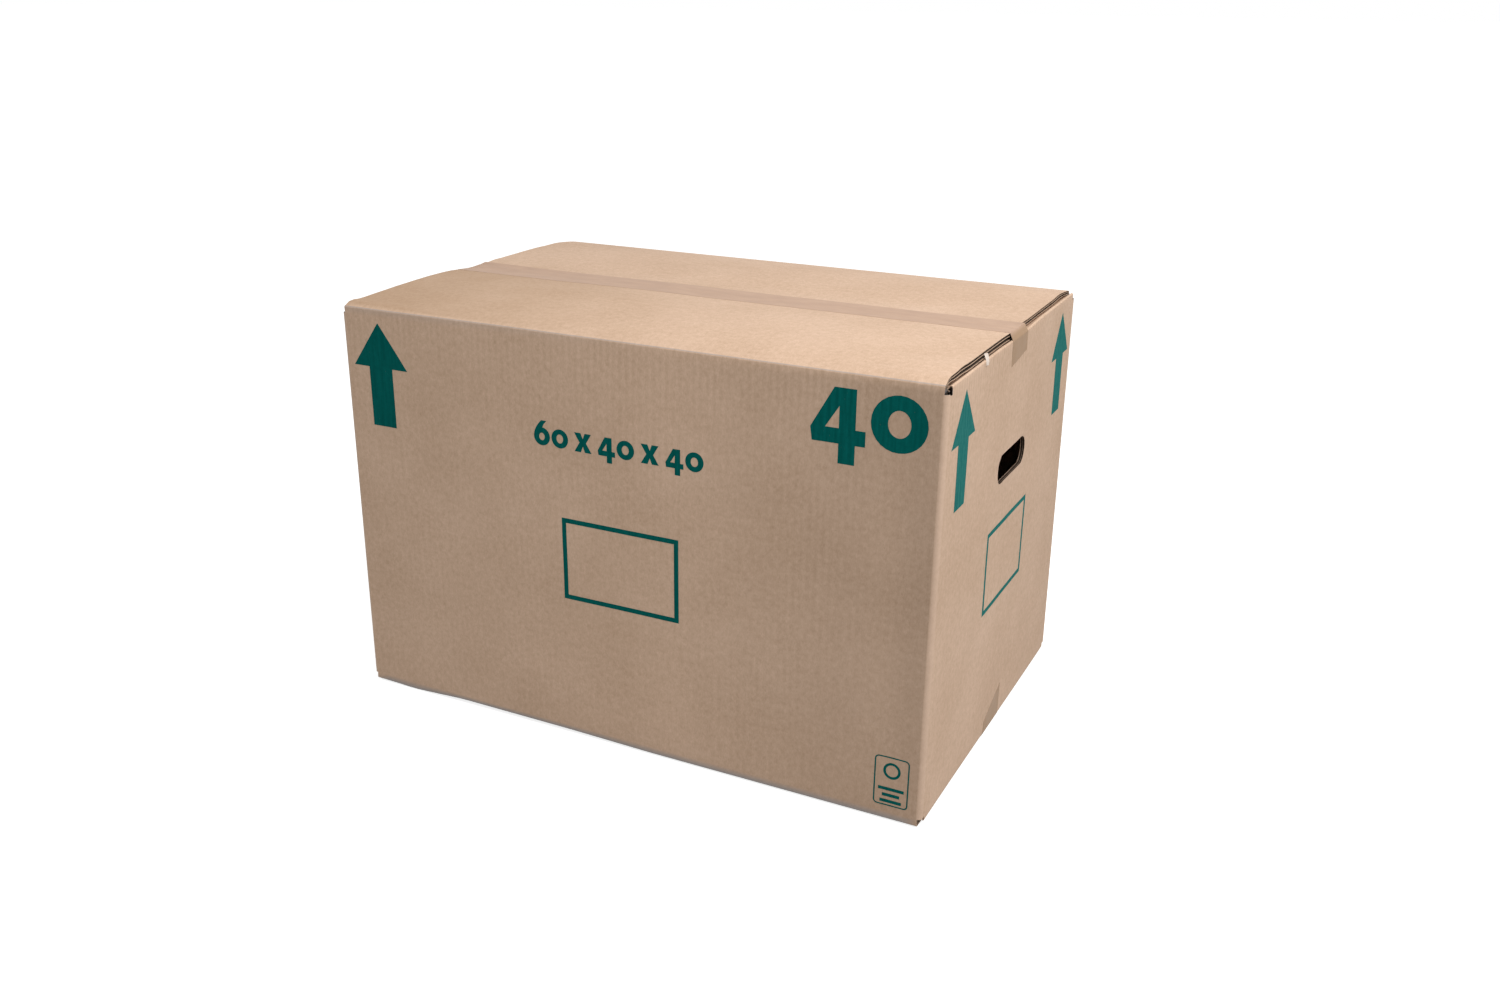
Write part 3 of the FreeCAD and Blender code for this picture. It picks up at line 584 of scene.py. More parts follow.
def fold_weight(column, row):
    """Painted highlight on an upright fold of the walls: one on the fold, less right beside it, else
    nothing.
    """
    if row[0] == "flap" or column["kind"] == "tab":
        return 0.0
    if column["kind"] == "corner":
        return 1.0
    values = panel_columns(column["panel"])
    near = min(values[-1] - column["a"], column["a"] - values[0])
    return 0.4 if near < 0.5 * FOLD_RIM else 0.0


# How much painted shade the front's folds take
BOTTOM_FOLD_SHADE = 0.45
TOP_FOLD_SHADE = 0.3
TOP_FOLD_LOW_SHADE = 0.12


def crease_shade(column, row):
    """Painted shade of the rolled bottom fold in front, and a painted dark line of shade along the top one.
    """
    if column["kind"] != "panel" or column["panel"] != "front" or row[0] != "flap":
        return 0.0
    x = column["a"]
    if row[1] < 0:
        return BOTTOM_FOLD_SHADE * smooth(-0.30, -0.285, x) * smooth(-0.295, -0.28, -x)
    if row[2] <= FOLD_STEPS / 2:
        return TOP_FOLD_LOW_SHADE * smooth(-0.1, 0.25, -x)
    return TOP_FOLD_SHADE if row[2] <= FOLD_STEPS else 0.0


def in_window(column, low, high):
    if column["kind"] != "panel" or column["panel"] not in END_PANELS:
        return False
    return low - NEAR <= column["a"] <= high + NEAR


def build_grid(sheet):
    """Nodes and cells of the whole blank, without the hand holes."""
    grid = {}
    for c, column in enumerate(COLUMNS):
        for r, row in enumerate(GRID_ROWS):
            if row[0] == "flap":
                if not has_flap(column):
                    continue
                outer, inner, used = flap_node(column, row[1], row[2])
                t = SLOT_TOP + used if row[1] > 0 else SLOT_BOTTOM - used
            else:
                outer, inner = wall_node(column, row[1])
                t = row[1]
            marks = fold_weight(column, row), crease_shade(column, row)
            grid[c, r] = (outer, inner, (column["s"], t), *marks)
    used_nodes = {}

    def node(c, r):
        if (c, r) not in used_nodes:
            used_nodes[c, r] = sheet.add_node(*grid[c, r])
        return used_nodes[c, r]

    for c in range(len(COLUMNS) - 1):
        first, second = COLUMNS[c], COLUMNS[c + 1]
        for r in range(len(GRID_ROWS) - 1):
            if cell_is_board(first, second, GRID_ROWS[r], GRID_ROWS[r + 1]):
                sheet.add_cell(node(c, r), node(c + 1, r), node(c + 1, r + 1), node(c, r + 1))
    return used_nodes


def cell_is_board(first, second, low, high):
    if low[0] == "flap" or high[0] == "flap":
        return has_flap(first) and has_flap(second) and first["panel"] == second["panel"]
    if in_window(first, -WINDOW_HALF, WINDOW_HALF) and in_window(second, -WINDOW_HALF, WINDOW_HALF):
        if low[1] > WINDOW_LOW - NEAR and high[1] < WINDOW_HIGH + NEAR:
            return False
    if second["kind"] == "tab" and first["kind"] == "tab":
        if low[1] < SLOT_BOTTOM + TAB_MARGIN - NEAR or high[1] > SLOT_TOP - TAB_MARGIN + NEAR:
            return False
    return True


def hole_side(length_steps, half_a, half_b):
    """One side of a rounded rectangle, with half of each of its corners."""
    corner = HOLE_RADIUS
    turned = []
    for n in (1, 2):
        angle = math.pi / 4 * n / 2
        a = half_a - corner + corner * math.sin(angle)
        turned.append((a, half_b - corner + corner * math.cos(angle)))
    steps = length_steps - 4
    straight = [((2 * n / steps - 1) * (half_a - corner), half_b) for n in range(steps + 1)]
    return [(-a, b) for a, b in reversed(turned)] + straight + turned


def hole_contour():
    """Points of the hand hole against the window's border, from its top left."""
    half_height = (HOLE_TOP - HOLE_BOTTOM) / 2
    middle = (HOLE_TOP + HOLE_BOTTOM) / 2
    top = hole_side(WINDOW_COLUMNS, HOLE_HALF_WIDTH, half_height)
    side = hole_side(WINDOW_ROWS, half_height, HOLE_HALF_WIDTH)
    loop = [(a, middle + b) for a, b in top[:-1]]
    loop += [(b, middle - a) for a, b in side[:-1]]
    loop += [(-a, middle - b) for a, b in top[:-1]]
    loop += [(-b, middle + a) for a, b in side[:-1]]
    return loop


def window_loop(panel, used_nodes):
    """Grid nodes on the window's border, from its top left and clockwise."""
    columns = [c for c, column in enumerate(COLUMNS)
               if column["panel"] == panel and in_window(column, -WINDOW_HALF, WINDOW_HALF)]
    rows = [r for r, row in enumerate(GRID_ROWS)
            if row[0] == "wall" and WINDOW_LOW - NEAR <= row[1] <= WINDOW_HIGH + NEAR]
    top = [(c, rows[-1]) for c in columns[:-1]]
    right = [(columns[-1], r) for r in reversed(rows[1:])]
    bottom = [(c, rows[0]) for c in reversed(columns[1:])]
    left = [(columns[0], r) for r in rows[:-1]]
    places = top + right + bottom + left
    return [used_nodes[p] for p in places], [(COLUMNS[c]["a"], GRID_ROWS[r][1]) for c, r in places]


RING_SHARES = (0.0, 0.35, 0.65, 0.86, 0.96, 1.0)
ROOT_START = 2
ROOT_END = WINDOW_COLUMNS - 2


def build_hand_hole(sheet, panel, used_nodes):
    """Board between the window and the hand hole, and the tab folded inwards."""
    loop, places = window_loop(panel, used_nodes)
    contour = hole_contour()
    middle = next(c["s"] for c in COLUMNS if c["panel"] == panel and abs(c.get("a", 1)) < NEAR)
    last = loop
    for share in RING_SHARES[1:]:
        ring = []
        for n, ((a, z), (hole_a, hole_z)) in enumerate(zip(places, contour)):
            ring_a = a + (hole_a - a) * share
            ring_z = z + (hole_z - z) * share
            inner_z = ring_z
            outer = wall_point(panel, ring_a, ring_z)
            if ROOT_START <= n <= ROOT_END:
                inner_z += BOARD * share ** 3
                if share == 1.0:
                    outer = wall_point(panel, ring_a, ring_z + 0.5 * MM, -0.7 * MM)
            inner = wall_point(panel, ring_a, inner_z, HOLE_CRUSH * share ** 4 - BOARD)
            # The rim of the hand hole takes the painted highlight of the folds, growing towards the hole
            ring.append(sheet.add_node(outer, inner, (middle + ring_a, ring_z), 0.5 * share ** 4))
        for n in range(len(ring)):
            m = (n + 1) % len(ring)
            sheet.add_cell(last[n], ring[n], ring[m], last[m])
        last = ring
    sheet.crushed.update((last[ROOT_START], last[ROOT_END]))
    build_hand_tab(sheet, panel, last[ROOT_START:ROOT_END + 1], middle)


# Depths of the folded tab behind the wall, in millimetres, and its own bends
TAB_DROOP = 0.8 * MM
TAB_BOW = 0.5 * MM
TAB_DEPTHS = (0.9, 2.4, 4.5, 7.5, 11, 14, 16, 19.6, 22.6, 24.8, 26.1, 26.6)


def tab_half_width(depth):
    """Half the width of the tab, which was cut out of the hand hole."""
    straight = HOLE_HALF_WIDTH - HOLE_RADIUS
    height = HOLE_TOP - HOLE_BOTTOM
    into = min(depth, height - depth)
    if into >= HOLE_RADIUS:
        return HOLE_HALF_WIDTH - HOLE_KERF
    reach = math.sqrt(max(HOLE_RADIUS ** 2 - (HOLE_RADIUS - into) ** 2, 0.0))
    return straight + reach - HOLE_KERF * smooth(0, 2 * MM, depth)


def build_hand_tab(sheet, panel, root, middle):
    last = root
    count = len(root) - 1
    out = PANELS[panel]["out"]
    for depth in TAB_DEPTHS:
        depth *= MM
        half = tab_half_width(depth)
        droop = -TAB_DROOP * (depth / (HOLE_TOP - HOLE_BOTTOM)) ** 2
        row = []
        for n in range(count + 1):
            a = half * (2 * n / count - 1)
            bow = TAB_BOW * (1 - (2 * n / count - 1) ** 2) * smooth(0, 20 * MM, depth)
            level = HOLE_TOP + droop + bow
            bulge = wall_bulge(panel, a, HOLE_TOP)
            inner_out = min(out - depth, out - BOARD - 0.4 * MM)
            outer = to_world(panel, a, out - depth - 0.9 * MM + bulge, level)
            inner = to_world(panel, a, inner_out - 0.4 * MM + bulge, level + BOARD)
            # Painted highlight along the tab's fold, fading away from it
            fold = 0.5 * (1 - smooth(0, 6 * MM, depth))
            row.append(sheet.add_node(outer, inner, (middle + a, HOLE_TOP - depth), fold))
        for n in range(count):
            sheet.add_cell(last[n], row[n], row[n + 1], last[n + 1])
        last = row


# Cut edges: the liners reach the edge and the fluted layers lie behind it

LAYERS = (
    LINER / BOARD,
    (LINER + FINE_FLUTE) / BOARD,
    (LINER + FINE_FLUTE + MIDDLE_LINER) / BOARD,
    1 - LINER / BOARD,
)
# Steps of a cut edge from the outside to the inside: layer, and how far behind
COMB = [
    (layer, behind)
    for layer, order in zip(LAYERS, ((0, 0.12, 1), (1, 0.12, 0)) * 2) for behind in order]


CRUSHED_REACH = 0.12


class Edge:
    """A border node with its direction into the board, on both faces."""

    def __init__(self, sheet, node, before, after, border):
        self.outer = sheet.outer[node]
        self.inner = sheet.inner[node]
        self.blank = Vector(sheet.blank[node])
        ways = []
        for start, end in ((before, node), (node, after)):
            far_start, far_end = border[(start, end)]
            far = far_end if end == node else far_start
            ways.append([
                (sheet.outer[far] - self.outer).normalized(),
                (sheet.inner[far] - self.inner).normalized(),
                (Vector(sheet.blank[far]) - self.blank).normalized()])
        reach = CRUSHED_REACH if node in sheet.crushed else 1.0
        self.ways = [self.corner(one, two) * reach for one, two in zip(*ways)]

    @staticmethod
    def corner(one, two):
        return (one + two) / max(1 + one.dot(two), 0.8)

    def point(self, layer, depth):
        """Place at a share of the board's thickness, a depth behind the edge."""
        outer = self.outer + self.ways[0] * depth
        inner = self.inner + self.ways[1] * depth
        return outer.lerp(inner, layer)

    def on_blank(self, depth):
        return self.blank + self.ways[2] * depth


def loops_of(border):
    """Closed loops of border nodes."""
    following = {start: end for start, end in border}
    loops = []
    while following:
        start = next(iter(following))
        loop = [start]
        node = following.pop(start)
        while node != start:
            loop.append(node)
            node = following.pop(node)
        loops.append(loop)
    return loops


def place_object(name, data):
    item = bpy.data.objects.new(name, data)
    bpy.context.scene.collection.objects.link(item)
    return item


class MeshData:
    """Points, faces and the two values per point that the materials read."""

    def __init__(self):
        self.points = []
        self.faces = []
        self.blank = []
        self.marks = []

    def add(self, point, blank, layer, fold=0.0, edge=0.0, shade=0.0):
        self.points.append(settled(point))
        self.blank.append((blank[0], blank[1], layer * BOARD))
        self.marks.append((fold, edge, shade))
        return len(self.points) - 1

    def make(self, name, material):
        mesh = bpy.data.meshes.new(name)
        mesh.from_pydata(self.points, [], self.faces)
        mesh.update()
        for label, values in (("blank", self.blank), ("marks", self.marks)):
            layer = mesh.attributes.new(label, "FLOAT_VECTOR", "POINT")
            layer.data.foreach_set("vector", [part for value in values for part in value])
        mesh.materials.append(material)
        mesh.polygons.foreach_set("use_smooth", [True] * len(mesh.polygons))
        mesh.set_sharp_from_angle(angle=math.radians(38))
        return place_object(name, mesh)


def close_sheet(sheet, data):
    """Outside, inside and the stepped cut edges, as one closed skin."""
    for node, (outer, inner) in enumerate(zip(sheet.outer, sheet.inner)):
        data.add(outer, sheet.blank[node], 0.0, sheet.fold[node], 0.0, sheet.shade[node])
        data.add(inner, sheet.blank[node], 1.0)
    for cell in sheet.cells:
        data.faces.append(tuple(2 * node for node in cell))
        data.faces.append(tuple(2 * node + 1 for node in reversed(cell)))
    border = sheet.border()
    loops = []
    for loop in loops_of(border):
        edges = [
            Edge(sheet, node, loop[n - 1], loop[(n + 1) % len(loop)], border)
            for n, node in enumerate(loop)]
        chains = [comb_points(data, node, edge) for node, edge in zip(loop, edges)]
        for n, chain in enumerate(chains):
            following = chains[(n + 1) % len(chains)]
            for k in range(len(chain) - 1):
                data.faces.append((chain[k], chain[k + 1], following[k + 1], following[k]))
        loops.append(edges)
    return loops


def in_top_slot(edge):
    place = edge.outer
    beside = abs(place.x) > LENGTH / 2 - 14 * MM and abs(place.y) > END_FLAP_SIDE - 1 * MM
    return beside and SLOT_TOP - 1 * MM < place.z < HEIGHT - TOP_SHAPE["drop"] - 0.5 * FOLD_RADIUS


def in_hand_hole(edge):
    place = edge.outer
    return abs(place.x) > LENGTH / 2 - 50 * MM and HOLE_BOTTOM - 2 * MM < place.z < HOLE_TOP + 10 * MM


def edge_shade_weight(edge, layer, behind):
    """How much painted shade a cut edge takes: less on its liners, full in its hollows behind them."""
    if in_hand_hole(edge):
        return 1.0 if behind else 0.6 + 0.3 * layer
    if not shows_flutes(edge):
        return 1.0 if behind else 0.5
    crushed = edge.outer.y > 0 and layer < 0.5
    return (0.6 if crushed else 1.0) if behind else 0.08


RAGGED = 0.35 * MM
RAGGED_SCALE = 210


def comb_points(data, node, edge):
    chain = [2 * node]
    # Painted shade: the cut edges in the top corner slots are painted near black
    shade = 1.0 if in_top_slot(edge) else 0.0
    for layer, behind in COMB:
        ragged = RAGGED * abs(soft_noise(edge.blank.x, edge.blank.y, layer, RAGGED_SCALE))
        depth = ragged + behind * (EDGE_DEPTH - ragged)
        # Painted shade of the cut edge, by layer and depth
        weight = edge_shade_weight(edge, layer, behind)
        chain.append(data.add(edge.point(layer, depth), edge.on_blank(depth), layer, 0.0, weight, shade))
    chain.append(2 * node + 1)
    return chain


# Fluted paper behind a cut edge: a thin ribbon that waves between its liners

PAPER = 0.22 * MM
FLUTES = (
    (FINE_PITCH, LAYERS[0], LAYERS[1], 0.0),
    (COARSE_PITCH, LAYERS[2], LAYERS[3], 1.3),
)


def flute_layer(s, t, pitch, low, high, phase):
    """Where the fluted paper lies in the board, as a share of its thickness."""
    half_paper = PAPER / BOARD / 2
    swing = (high - low) / 2 - half_paper
    drift = 1.6 * noise.noise(Vector((s * 4, t * 9, phase)))
    return (low + high) / 2 + swing * math.sin(2 * math.pi * s / pitch + phase + drift)


def add_flutes(data, edges, closed):
    """Ribbons of both fluted layers along a run of cut edge."""
    pairs = list(zip(edges, edges[1:] + edges[:1] if closed else edges[1:]))
    for pitch, low, high, phase in FLUTES:
        rings = []
        for one, two in pairs:
            gap = two.blank - one.blank
            across = abs(gap.x) > abs(gap.y)
            step = pitch / 8 if across else 6 * MM
            count = max(1, math.ceil(gap.length / step))
            for n in range(count):
                rings.append(ribbon_ring(data, one, two, n / count, pitch, low, high, phase))
        if not closed:
            one, two = pairs[-1]
            rings.append(ribbon_ring(data, one, two, 1.0, pitch, low, high, phase))
        join_rings(data, rings, closed)


# In millimetres behind the cut. At the flap ends the ribbons lie deeper
RIBBON_DEPTHS = (0.5, 1.3, 2.1, 2.9, 3.7, 4.6, 5.4)
FLAP_RIBBON_START, FLAP_RIBBON_SHARE = 2.6 * MM, 0.52


def ribbon_ring(data, one, two, share, pitch, low, high, phase):
    """Section of a ribbon: out along one face of the paper and back on the other."""
    front = []
    back = []
    at_flap = shows_flutes(one) and shows_flutes(two)
    for depth in RIBBON_DEPTHS:
        depth *= MM
        if at_flap:
            depth = FLAP_RIBBON_START + FLAP_RIBBON_SHARE * depth
        blank = one.on_blank(depth).lerp(two.on_blank(depth), share)
        layer = flute_layer(blank.x, blank.y, pitch, low, high, phase)
        for side, line in ((-1, front), (1, back)):
            place = layer + side * PAPER / BOARD / 2
            point = one.point(place, depth).lerp(two.point(place, depth), share)
            # The fluted paper behind a cut edge takes the edge's painted shade
            line.append(data.add(point, blank, place, 0.0, 0.9 * edge_shade_weight(one, layer, True)))
    return front + back[::-1]


def join_rings(data, rings, closed):
    size = len(rings[0])
    for n in range(len(rings) if closed else len(rings) - 1):
        one = rings[n]
        two = rings[(n + 1) % len(rings)]
        for k in range(size):
            m = (k + 1) % size
            data.faces.append((one[k], one[m], two[m], two[k]))
    if not closed:
        data.faces.append(tuple(reversed(rings[0])))
        data.faces.append(tuple(rings[-1]))


def shows_flutes(edge):
    """Cut edges that can be seen: flap ends, slots and the closing joint."""
    place = edge.outer
    at_flap_end = abs(place.x) > LONG_FLAP_END - BACK_FLAP_INSET - 1 * MM
    return at_flap_end and abs(place.y) > 0.7 * MM


def flute_runs(edges):
    """Runs of shown cut edge out of a closed loop."""
    shown = [shows_flutes(edge) for edge in edges]
    if all(shown):
        return [(edges, True)]
    start = shown.index(False)
    runs = []
    run = []
    for n in range(len(edges)):
        index = (start + n) % len(edges)
        if shown[index]:
            run.append(edges[index])
        elif run:
            runs.append((run, False))
            run = []
    if run:
        runs.append((run, False))
    return [(run, closed) for run, closed in runs if len(run) > 2]


def make_carton(material):
    sheet = Sheet()
    used_nodes = build_grid(sheet)
    for panel in END_PANELS:
        build_hand_hole(sheet, panel, used_nodes)
    data = MeshData()
    loops = close_sheet(sheet, data)
    for edges in loops:
        if len(edges) < 200:
            add_flutes(data, edges, True)
        else:
            for run, closed in flute_runs(edges):
                add_flutes(data, run, closed)
    return data.make("carton_board", material)


# Print: flat outlines that are cut into small faces and laid on a wall

INK_LIFT = 0.12 * MM
INK_FOOT = 0.02 * MM
INK_CELL = 14 * MM
ARC_STEPS = 28


def on_circle(s, z, radius, narrow=1.0):
    steps = [2 * math.pi * n / ARC_STEPS for n in range(ARC_STEPS)]
    return [(s + narrow * radius * math.cos(angle), z + radius * math.sin(angle)) for angle in steps]


def rectangle(left, right, low, high):
    return [(left, low), (right, low), (right, high), (left, high)]


def rounded(left, right, low, high, radius):
    points = []
    corners = ((right, high, 0), (left, high, 1), (left, low, 2), (right, low, 3))
    for x, z, quarter in corners:
        centre_x = x - math.copysign(radius, x - (left + right) / 2)
        centre_z = z - math.copysign(radius, z - (low + high) / 2)
        for n in range(6):
            angle = math.pi / 2 * (quarter + n / 5)
            points.append((centre_x + radius * math.cos(angle), centre_z + radius * math.sin(angle)))
    return points


def arrow(s):
    tip, base, foot = 384.7 * MM, 341.5 * MM, 283.3 * MM
    head, stem = 30.8 * MM, 13.3 * MM
    outside = [
        (s, tip), (s - head, base), (s - stem, base), (s - stem, foot),
        (s + stem, foot), (s + stem, base), (s + head, base)]
    return outside, []


def name_frame(middle=0.0):
    half, low, high, line = 60.8 * MM, 145 * MM, 226 * MM, 4.5 * MM
    left, right = middle - half, middle + half
    return rectangle(left, right, low, high), [rectangle(left + line, right - line, low + line, high - line)]


def curve_through(start, control, end, steps=8):
    """Points after start, up to end, of a curve pulled towards control."""
    points = []
    for n in range(1, steps + 1):
        share = n / steps
        back = 1 - share
        points.append(tuple(
            back * back * a + 2 * back * share * b + share * share * c
            for a, b, c in zip(start, control, end)))
    return points


# Figures for a zero of height 1 that stands on z 0: outline, holes, width


def zero():
    return on_circle(0.5, 0.5, 0.5), [on_circle(0.5, 0.5, 0.24, 0.84)], 1.0


def four():
    outside = [
        (0.42, 1.0), (0.0, 0.26), (0.035, 0.02), (0.52, 0.02), (0.52, -0.33), (0.82, -0.33),
        (0.82, 0.02), (1.0, 0.02), (1.0, 0.29), (0.82, 0.29), (0.82, 1.0)]
    return outside, [[(0.52, 0.68), (0.27, 0.29), (0.52, 0.29)]], 1.0


def six():
    bowl = 0.48
    outside = []
    for n in range(ARC_STEPS):
        angle = math.pi + 1.47 * math.pi * n / (ARC_STEPS - 1)
        outside.append((bowl + bowl * math.cos(angle), bowl + bowl * math.sin(angle)))
    outside += curve_through(outside[-1], (0.56, 1.12), (0.78, 1.33))
    outside.append((0.46, 1.33))
    outside += curve_through((0.46, 1.33), (0.02, 0.9), (0.0, bowl))[:-1]
    return outside, [on_circle(bowl, bowl - 0.01, 0.2, 0.84)], 0.96


def cross():
    width, arm = 1.0, 0.38
    middle, notch = width / 2, arm / 2
    outside = [
        (0, 0), (arm, 0), (middle, 0.5 - notch), (width - arm, 0), (width, 0),
        (middle + notch, 0.5), (width, 1), (width - arm, 1), (middle, 0.5 + notch),
        (arm, 1), (0, 1), (middle - notch, 0.5)]
    return outside, [], width


FIGURES = {"0": zero, "4": four, "6": six, "x": cross}


def text_shapes(text, start, base, height, gap, space):
    shapes = []
    s = start
    for figure in text:
        outside, holes, width = FIGURES[figure]()
        before = space - gap if figure == "x" else 0
        s += before

        def placed(points):
            return [(s + height * a, base + height * b) for a, b in points]

        shapes.append((placed(outside), [placed(hole) for hole in holes]))
        s += width * height + gap + before
    return shapes, s - gap - start


def small_mark():
    """A plain framed mark: a ring above three bars."""
    right = LENGTH / 2 - 13 * MM
    left, low = right - 32 * MM, 14.6 * MM
    high, line = low + 48.4 * MM, 1.2 * MM
    middle, ring = (left + right) / 2, 8 * MM
    ring_z = high - 1.7 * ring
    shapes = [(rounded(left, right, low, high, 4 * MM),
               [rounded(left + line, right - line, low + line, high - line, 2.8 * MM)])]
    shapes.append((on_circle(middle, ring_z, ring), [on_circle(middle, ring_z, ring - 2 * line)]))
    bar = (high - low) / 16
    for row, share in enumerate((0.62, 0.5, 0.74)):
        half = share * 16 * MM
        foot = low + (2 * row + 1) * bar
        shapes.append((rectangle(middle - half, middle + half, foot, foot + bar), []))
    return shapes


def long_wall_shapes():
    shapes = [arrow(41.4 * MM - LENGTH / 2), name_frame(1.6 * MM)]
    line = ("60x40x40", 0.0, 292.6 * MM, 17.8 * MM, 1.8 * MM, 6.7 * MM)
    width = text_shapes(*line)[1]
    shapes += text_shapes(line[0], 0.5 * MM - width / 2, *line[2:])[0]
    large = ("40", 0.0, 337.6 * MM, 48 * MM, 4 * MM, 4 * MM)
    start = LENGTH / 2 - 14.9 * MM - text_shapes(*large)[1]
    shapes += text_shapes(large[0], start, *large[2:])[0]
    return shapes + small_mark()


def end_wall_shapes():
    place = WIDTH / 2 - 45.4 * MM
    return [arrow(-place), arrow(place), name_frame()]


def fill_shape(outside, holes):
    """A flat outline with holes as a mesh of small faces, x along and y up."""
    work = bmesh.new()
    for outline in (outside, *holes):
        verts = [work.verts.new((a, z, 0)) for a, z in outline]
        for one, two in zip(verts, verts[1:] + verts[:1]):
            work.edges.new((one, two))
    bmesh.ops.triangle_fill(work, edges=work.edges[:], use_beauty=True, use_dissolve=False)
    spare = [edge for edge in work.edges if not edge.link_faces]
    bmesh.ops.delete(work, geom=spare, context="EDGES")
    for axis in (0, 1):
        values = [vert.co[axis] for vert in work.verts]
        cut = math.floor(min(values) / INK_CELL) + 1
        while cut * INK_CELL < max(values):
            place = [0, 0, 0]
            normal = [0, 0, 0]
            place[axis] = cut * INK_CELL
            normal[axis] = 1
            bmesh.ops.bisect_plane(
                work, geom=work.verts[:] + work.edges[:] + work.faces[:],
                plane_co=place, plane_no=normal)
            cut += 1
    bmesh.ops.remove_doubles(work, verts=work.verts[:], dist=0.02 * MM)
    return work


def turn_of(corners):
    """Twice the signed area of a flat face."""
    return sum(
        one.co.x * two.co.y - two.co.x * one.co.y
        for one, two in zip(corners, corners[1:] + corners[:1]))


def make_print(name, panel, shapes, material):
    """All printed shapes of one wall as closed thin shells."""
    data = MeshData()
    middle = next(c["s"] - c["a"] for c in COLUMNS if c["kind"] == "panel" and c["panel"] == panel)
    for outside, holes in shapes:
        work = fill_shape(outside, holes)
        work.verts.ensure_lookup_table()
        work.verts.index_update()
        start = len(data.points)
        count = len(work.verts)
        for lift in (INK_LIFT, INK_FOOT):
            for vert in work.verts:
                a, z = vert.co.x, vert.co.y
                data.add(wall_point(panel, a, z, lift), (middle + a, z), 0.0)
        for face in work.faces:
            ids = [vert.index for vert in face.verts]
            if turn_of(face.verts[:]) < 0:
                ids.reverse()
            data.faces.append(tuple(start + n for n in ids))
            data.faces.append(tuple(start + count + n for n in reversed(ids)))
            for one, two in zip(ids, ids[1:] + ids[:1]):
                edge = work.edges.get((work.verts[one], work.verts[two]))
                if len(edge.link_faces) == 1:
                    data.faces.append((start + two, start + one, start + count + one, start + count + two))
        work.free()
    return data.make(name, material)


# Tape: a strip that follows the seam and turns on to the end walls

TAPE_HALF = 24 * MM
TAPE_LIFT = 0.16 * MM
TAPE_FOOT = 0.04 * MM
TAPE_COLUMNS = 24
TAPE_END_STEPS = 9
# The tape is painted darker, as painted shade, where it turns down an end wall; the shade fades in over this
# span about the fold crest
DARK_FROM = (-6.5 * MM, -2 * MM)


def tape_path(end_x, seam_z, fold_crest, up, low_z):
    """Points (x, z) from near the end of the flaps down the right end wall."""
    wall = LENGTH / 2
    radius = END_FOLD_RADIUS
    centre_z = fold_crest - up * radius
    points = [(end_x, seam_z)]
    rise = up * (seam_z - centre_z)
    away = math.hypot(end_x - (wall - radius), rise)
    first = math.atan2(rise, end_x - (wall - radius)) - math.acos(min(radius / away, 1.0))
    for n in range(5):
        angle = first * (1 - n / 4)
        points.append((wall - radius + radius * math.cos(angle), centre_z + up * radius * math.sin(angle)))
    for n in range(1, TAPE_END_STEPS + 1):
        points.append((wall, centre_z + (low_z - centre_z) * n / TAPE_END_STEPS))
    return points


def divided(one, two, count):
    """The run from one point to another in equal steps."""
    return [tuple(a + (b - a) * n / count for a, b in zip(one, two)) for n in range(count + 1)]


def tape_strip(surface, fold_crest, up, end_z, seed):
    """Rows of points along the tape, from its left end to its right end."""
    rows = []
    for n in range(TAPE_COLUMNS + 1):
        y = TAPE_HALF * (2 * n / TAPE_COLUMNS - 1)
        share = n / TAPE_COLUMNS
        rows.append([])
        for side in (-1, 1):
            turned = share if side > 0 else 1 - share
            low_z = end_z[0] + (end_z[1] - end_z[0]) * turned
            low_z += 0.5 * MM * soft_noise(y, side * 3.3, seed, 160)
            seam = surface(side * LONG_FLAP_END, y)
            path = tape_path(LONG_FLAP_END, seam, fold_crest, up, low_z)
            path = divided(path[0], path[1], 5) + path[2:]
            half = [(side * x, y, z, side) for x, z in path]
            if side < 0:
                rows[-1] += half[::-1]
                flat = spread(-LONG_FLAP_END, LONG_FLAP_END, 8 * MM)[1:-1]
                rows[-1] += [(x, y, surface(x, y), 0) for x in flat]
            else:
                rows[-1] += half
    return rows


def tape_normals(rows):
    """Outward direction at each point, from its neighbours along the strip."""
    normals = []
    for row in rows:
        line = []
        for n in range(len(row)):
            before = Vector(row[max(n - 1, 0)][:3])
            after = Vector(row[min(n + 1, len(row) - 1)][:3])
            way = (after - before).normalized()
            line.append(Vector((-way.z, 0, way.x)))
        normals.append(line)
    return normals


def wrinkle(x, y, z, end, seed):
    """Small creases of the tape, strongest where it turns over the fold."""
    near = math.exp(-abs(abs(x) - LONG_FLAP_END) / (14 * MM)) if end == 0 else 1.0
    fold = math.exp(-abs(z - END_TOP) / (7 * MM)) if end else near
    place = Vector((x * 90 + seed, y * 210, z * 120))
    return 0.32 * MM * abs(noise.noise(place)) * fold + 0.05 * MM * abs(noise.noise(place * 2.3))


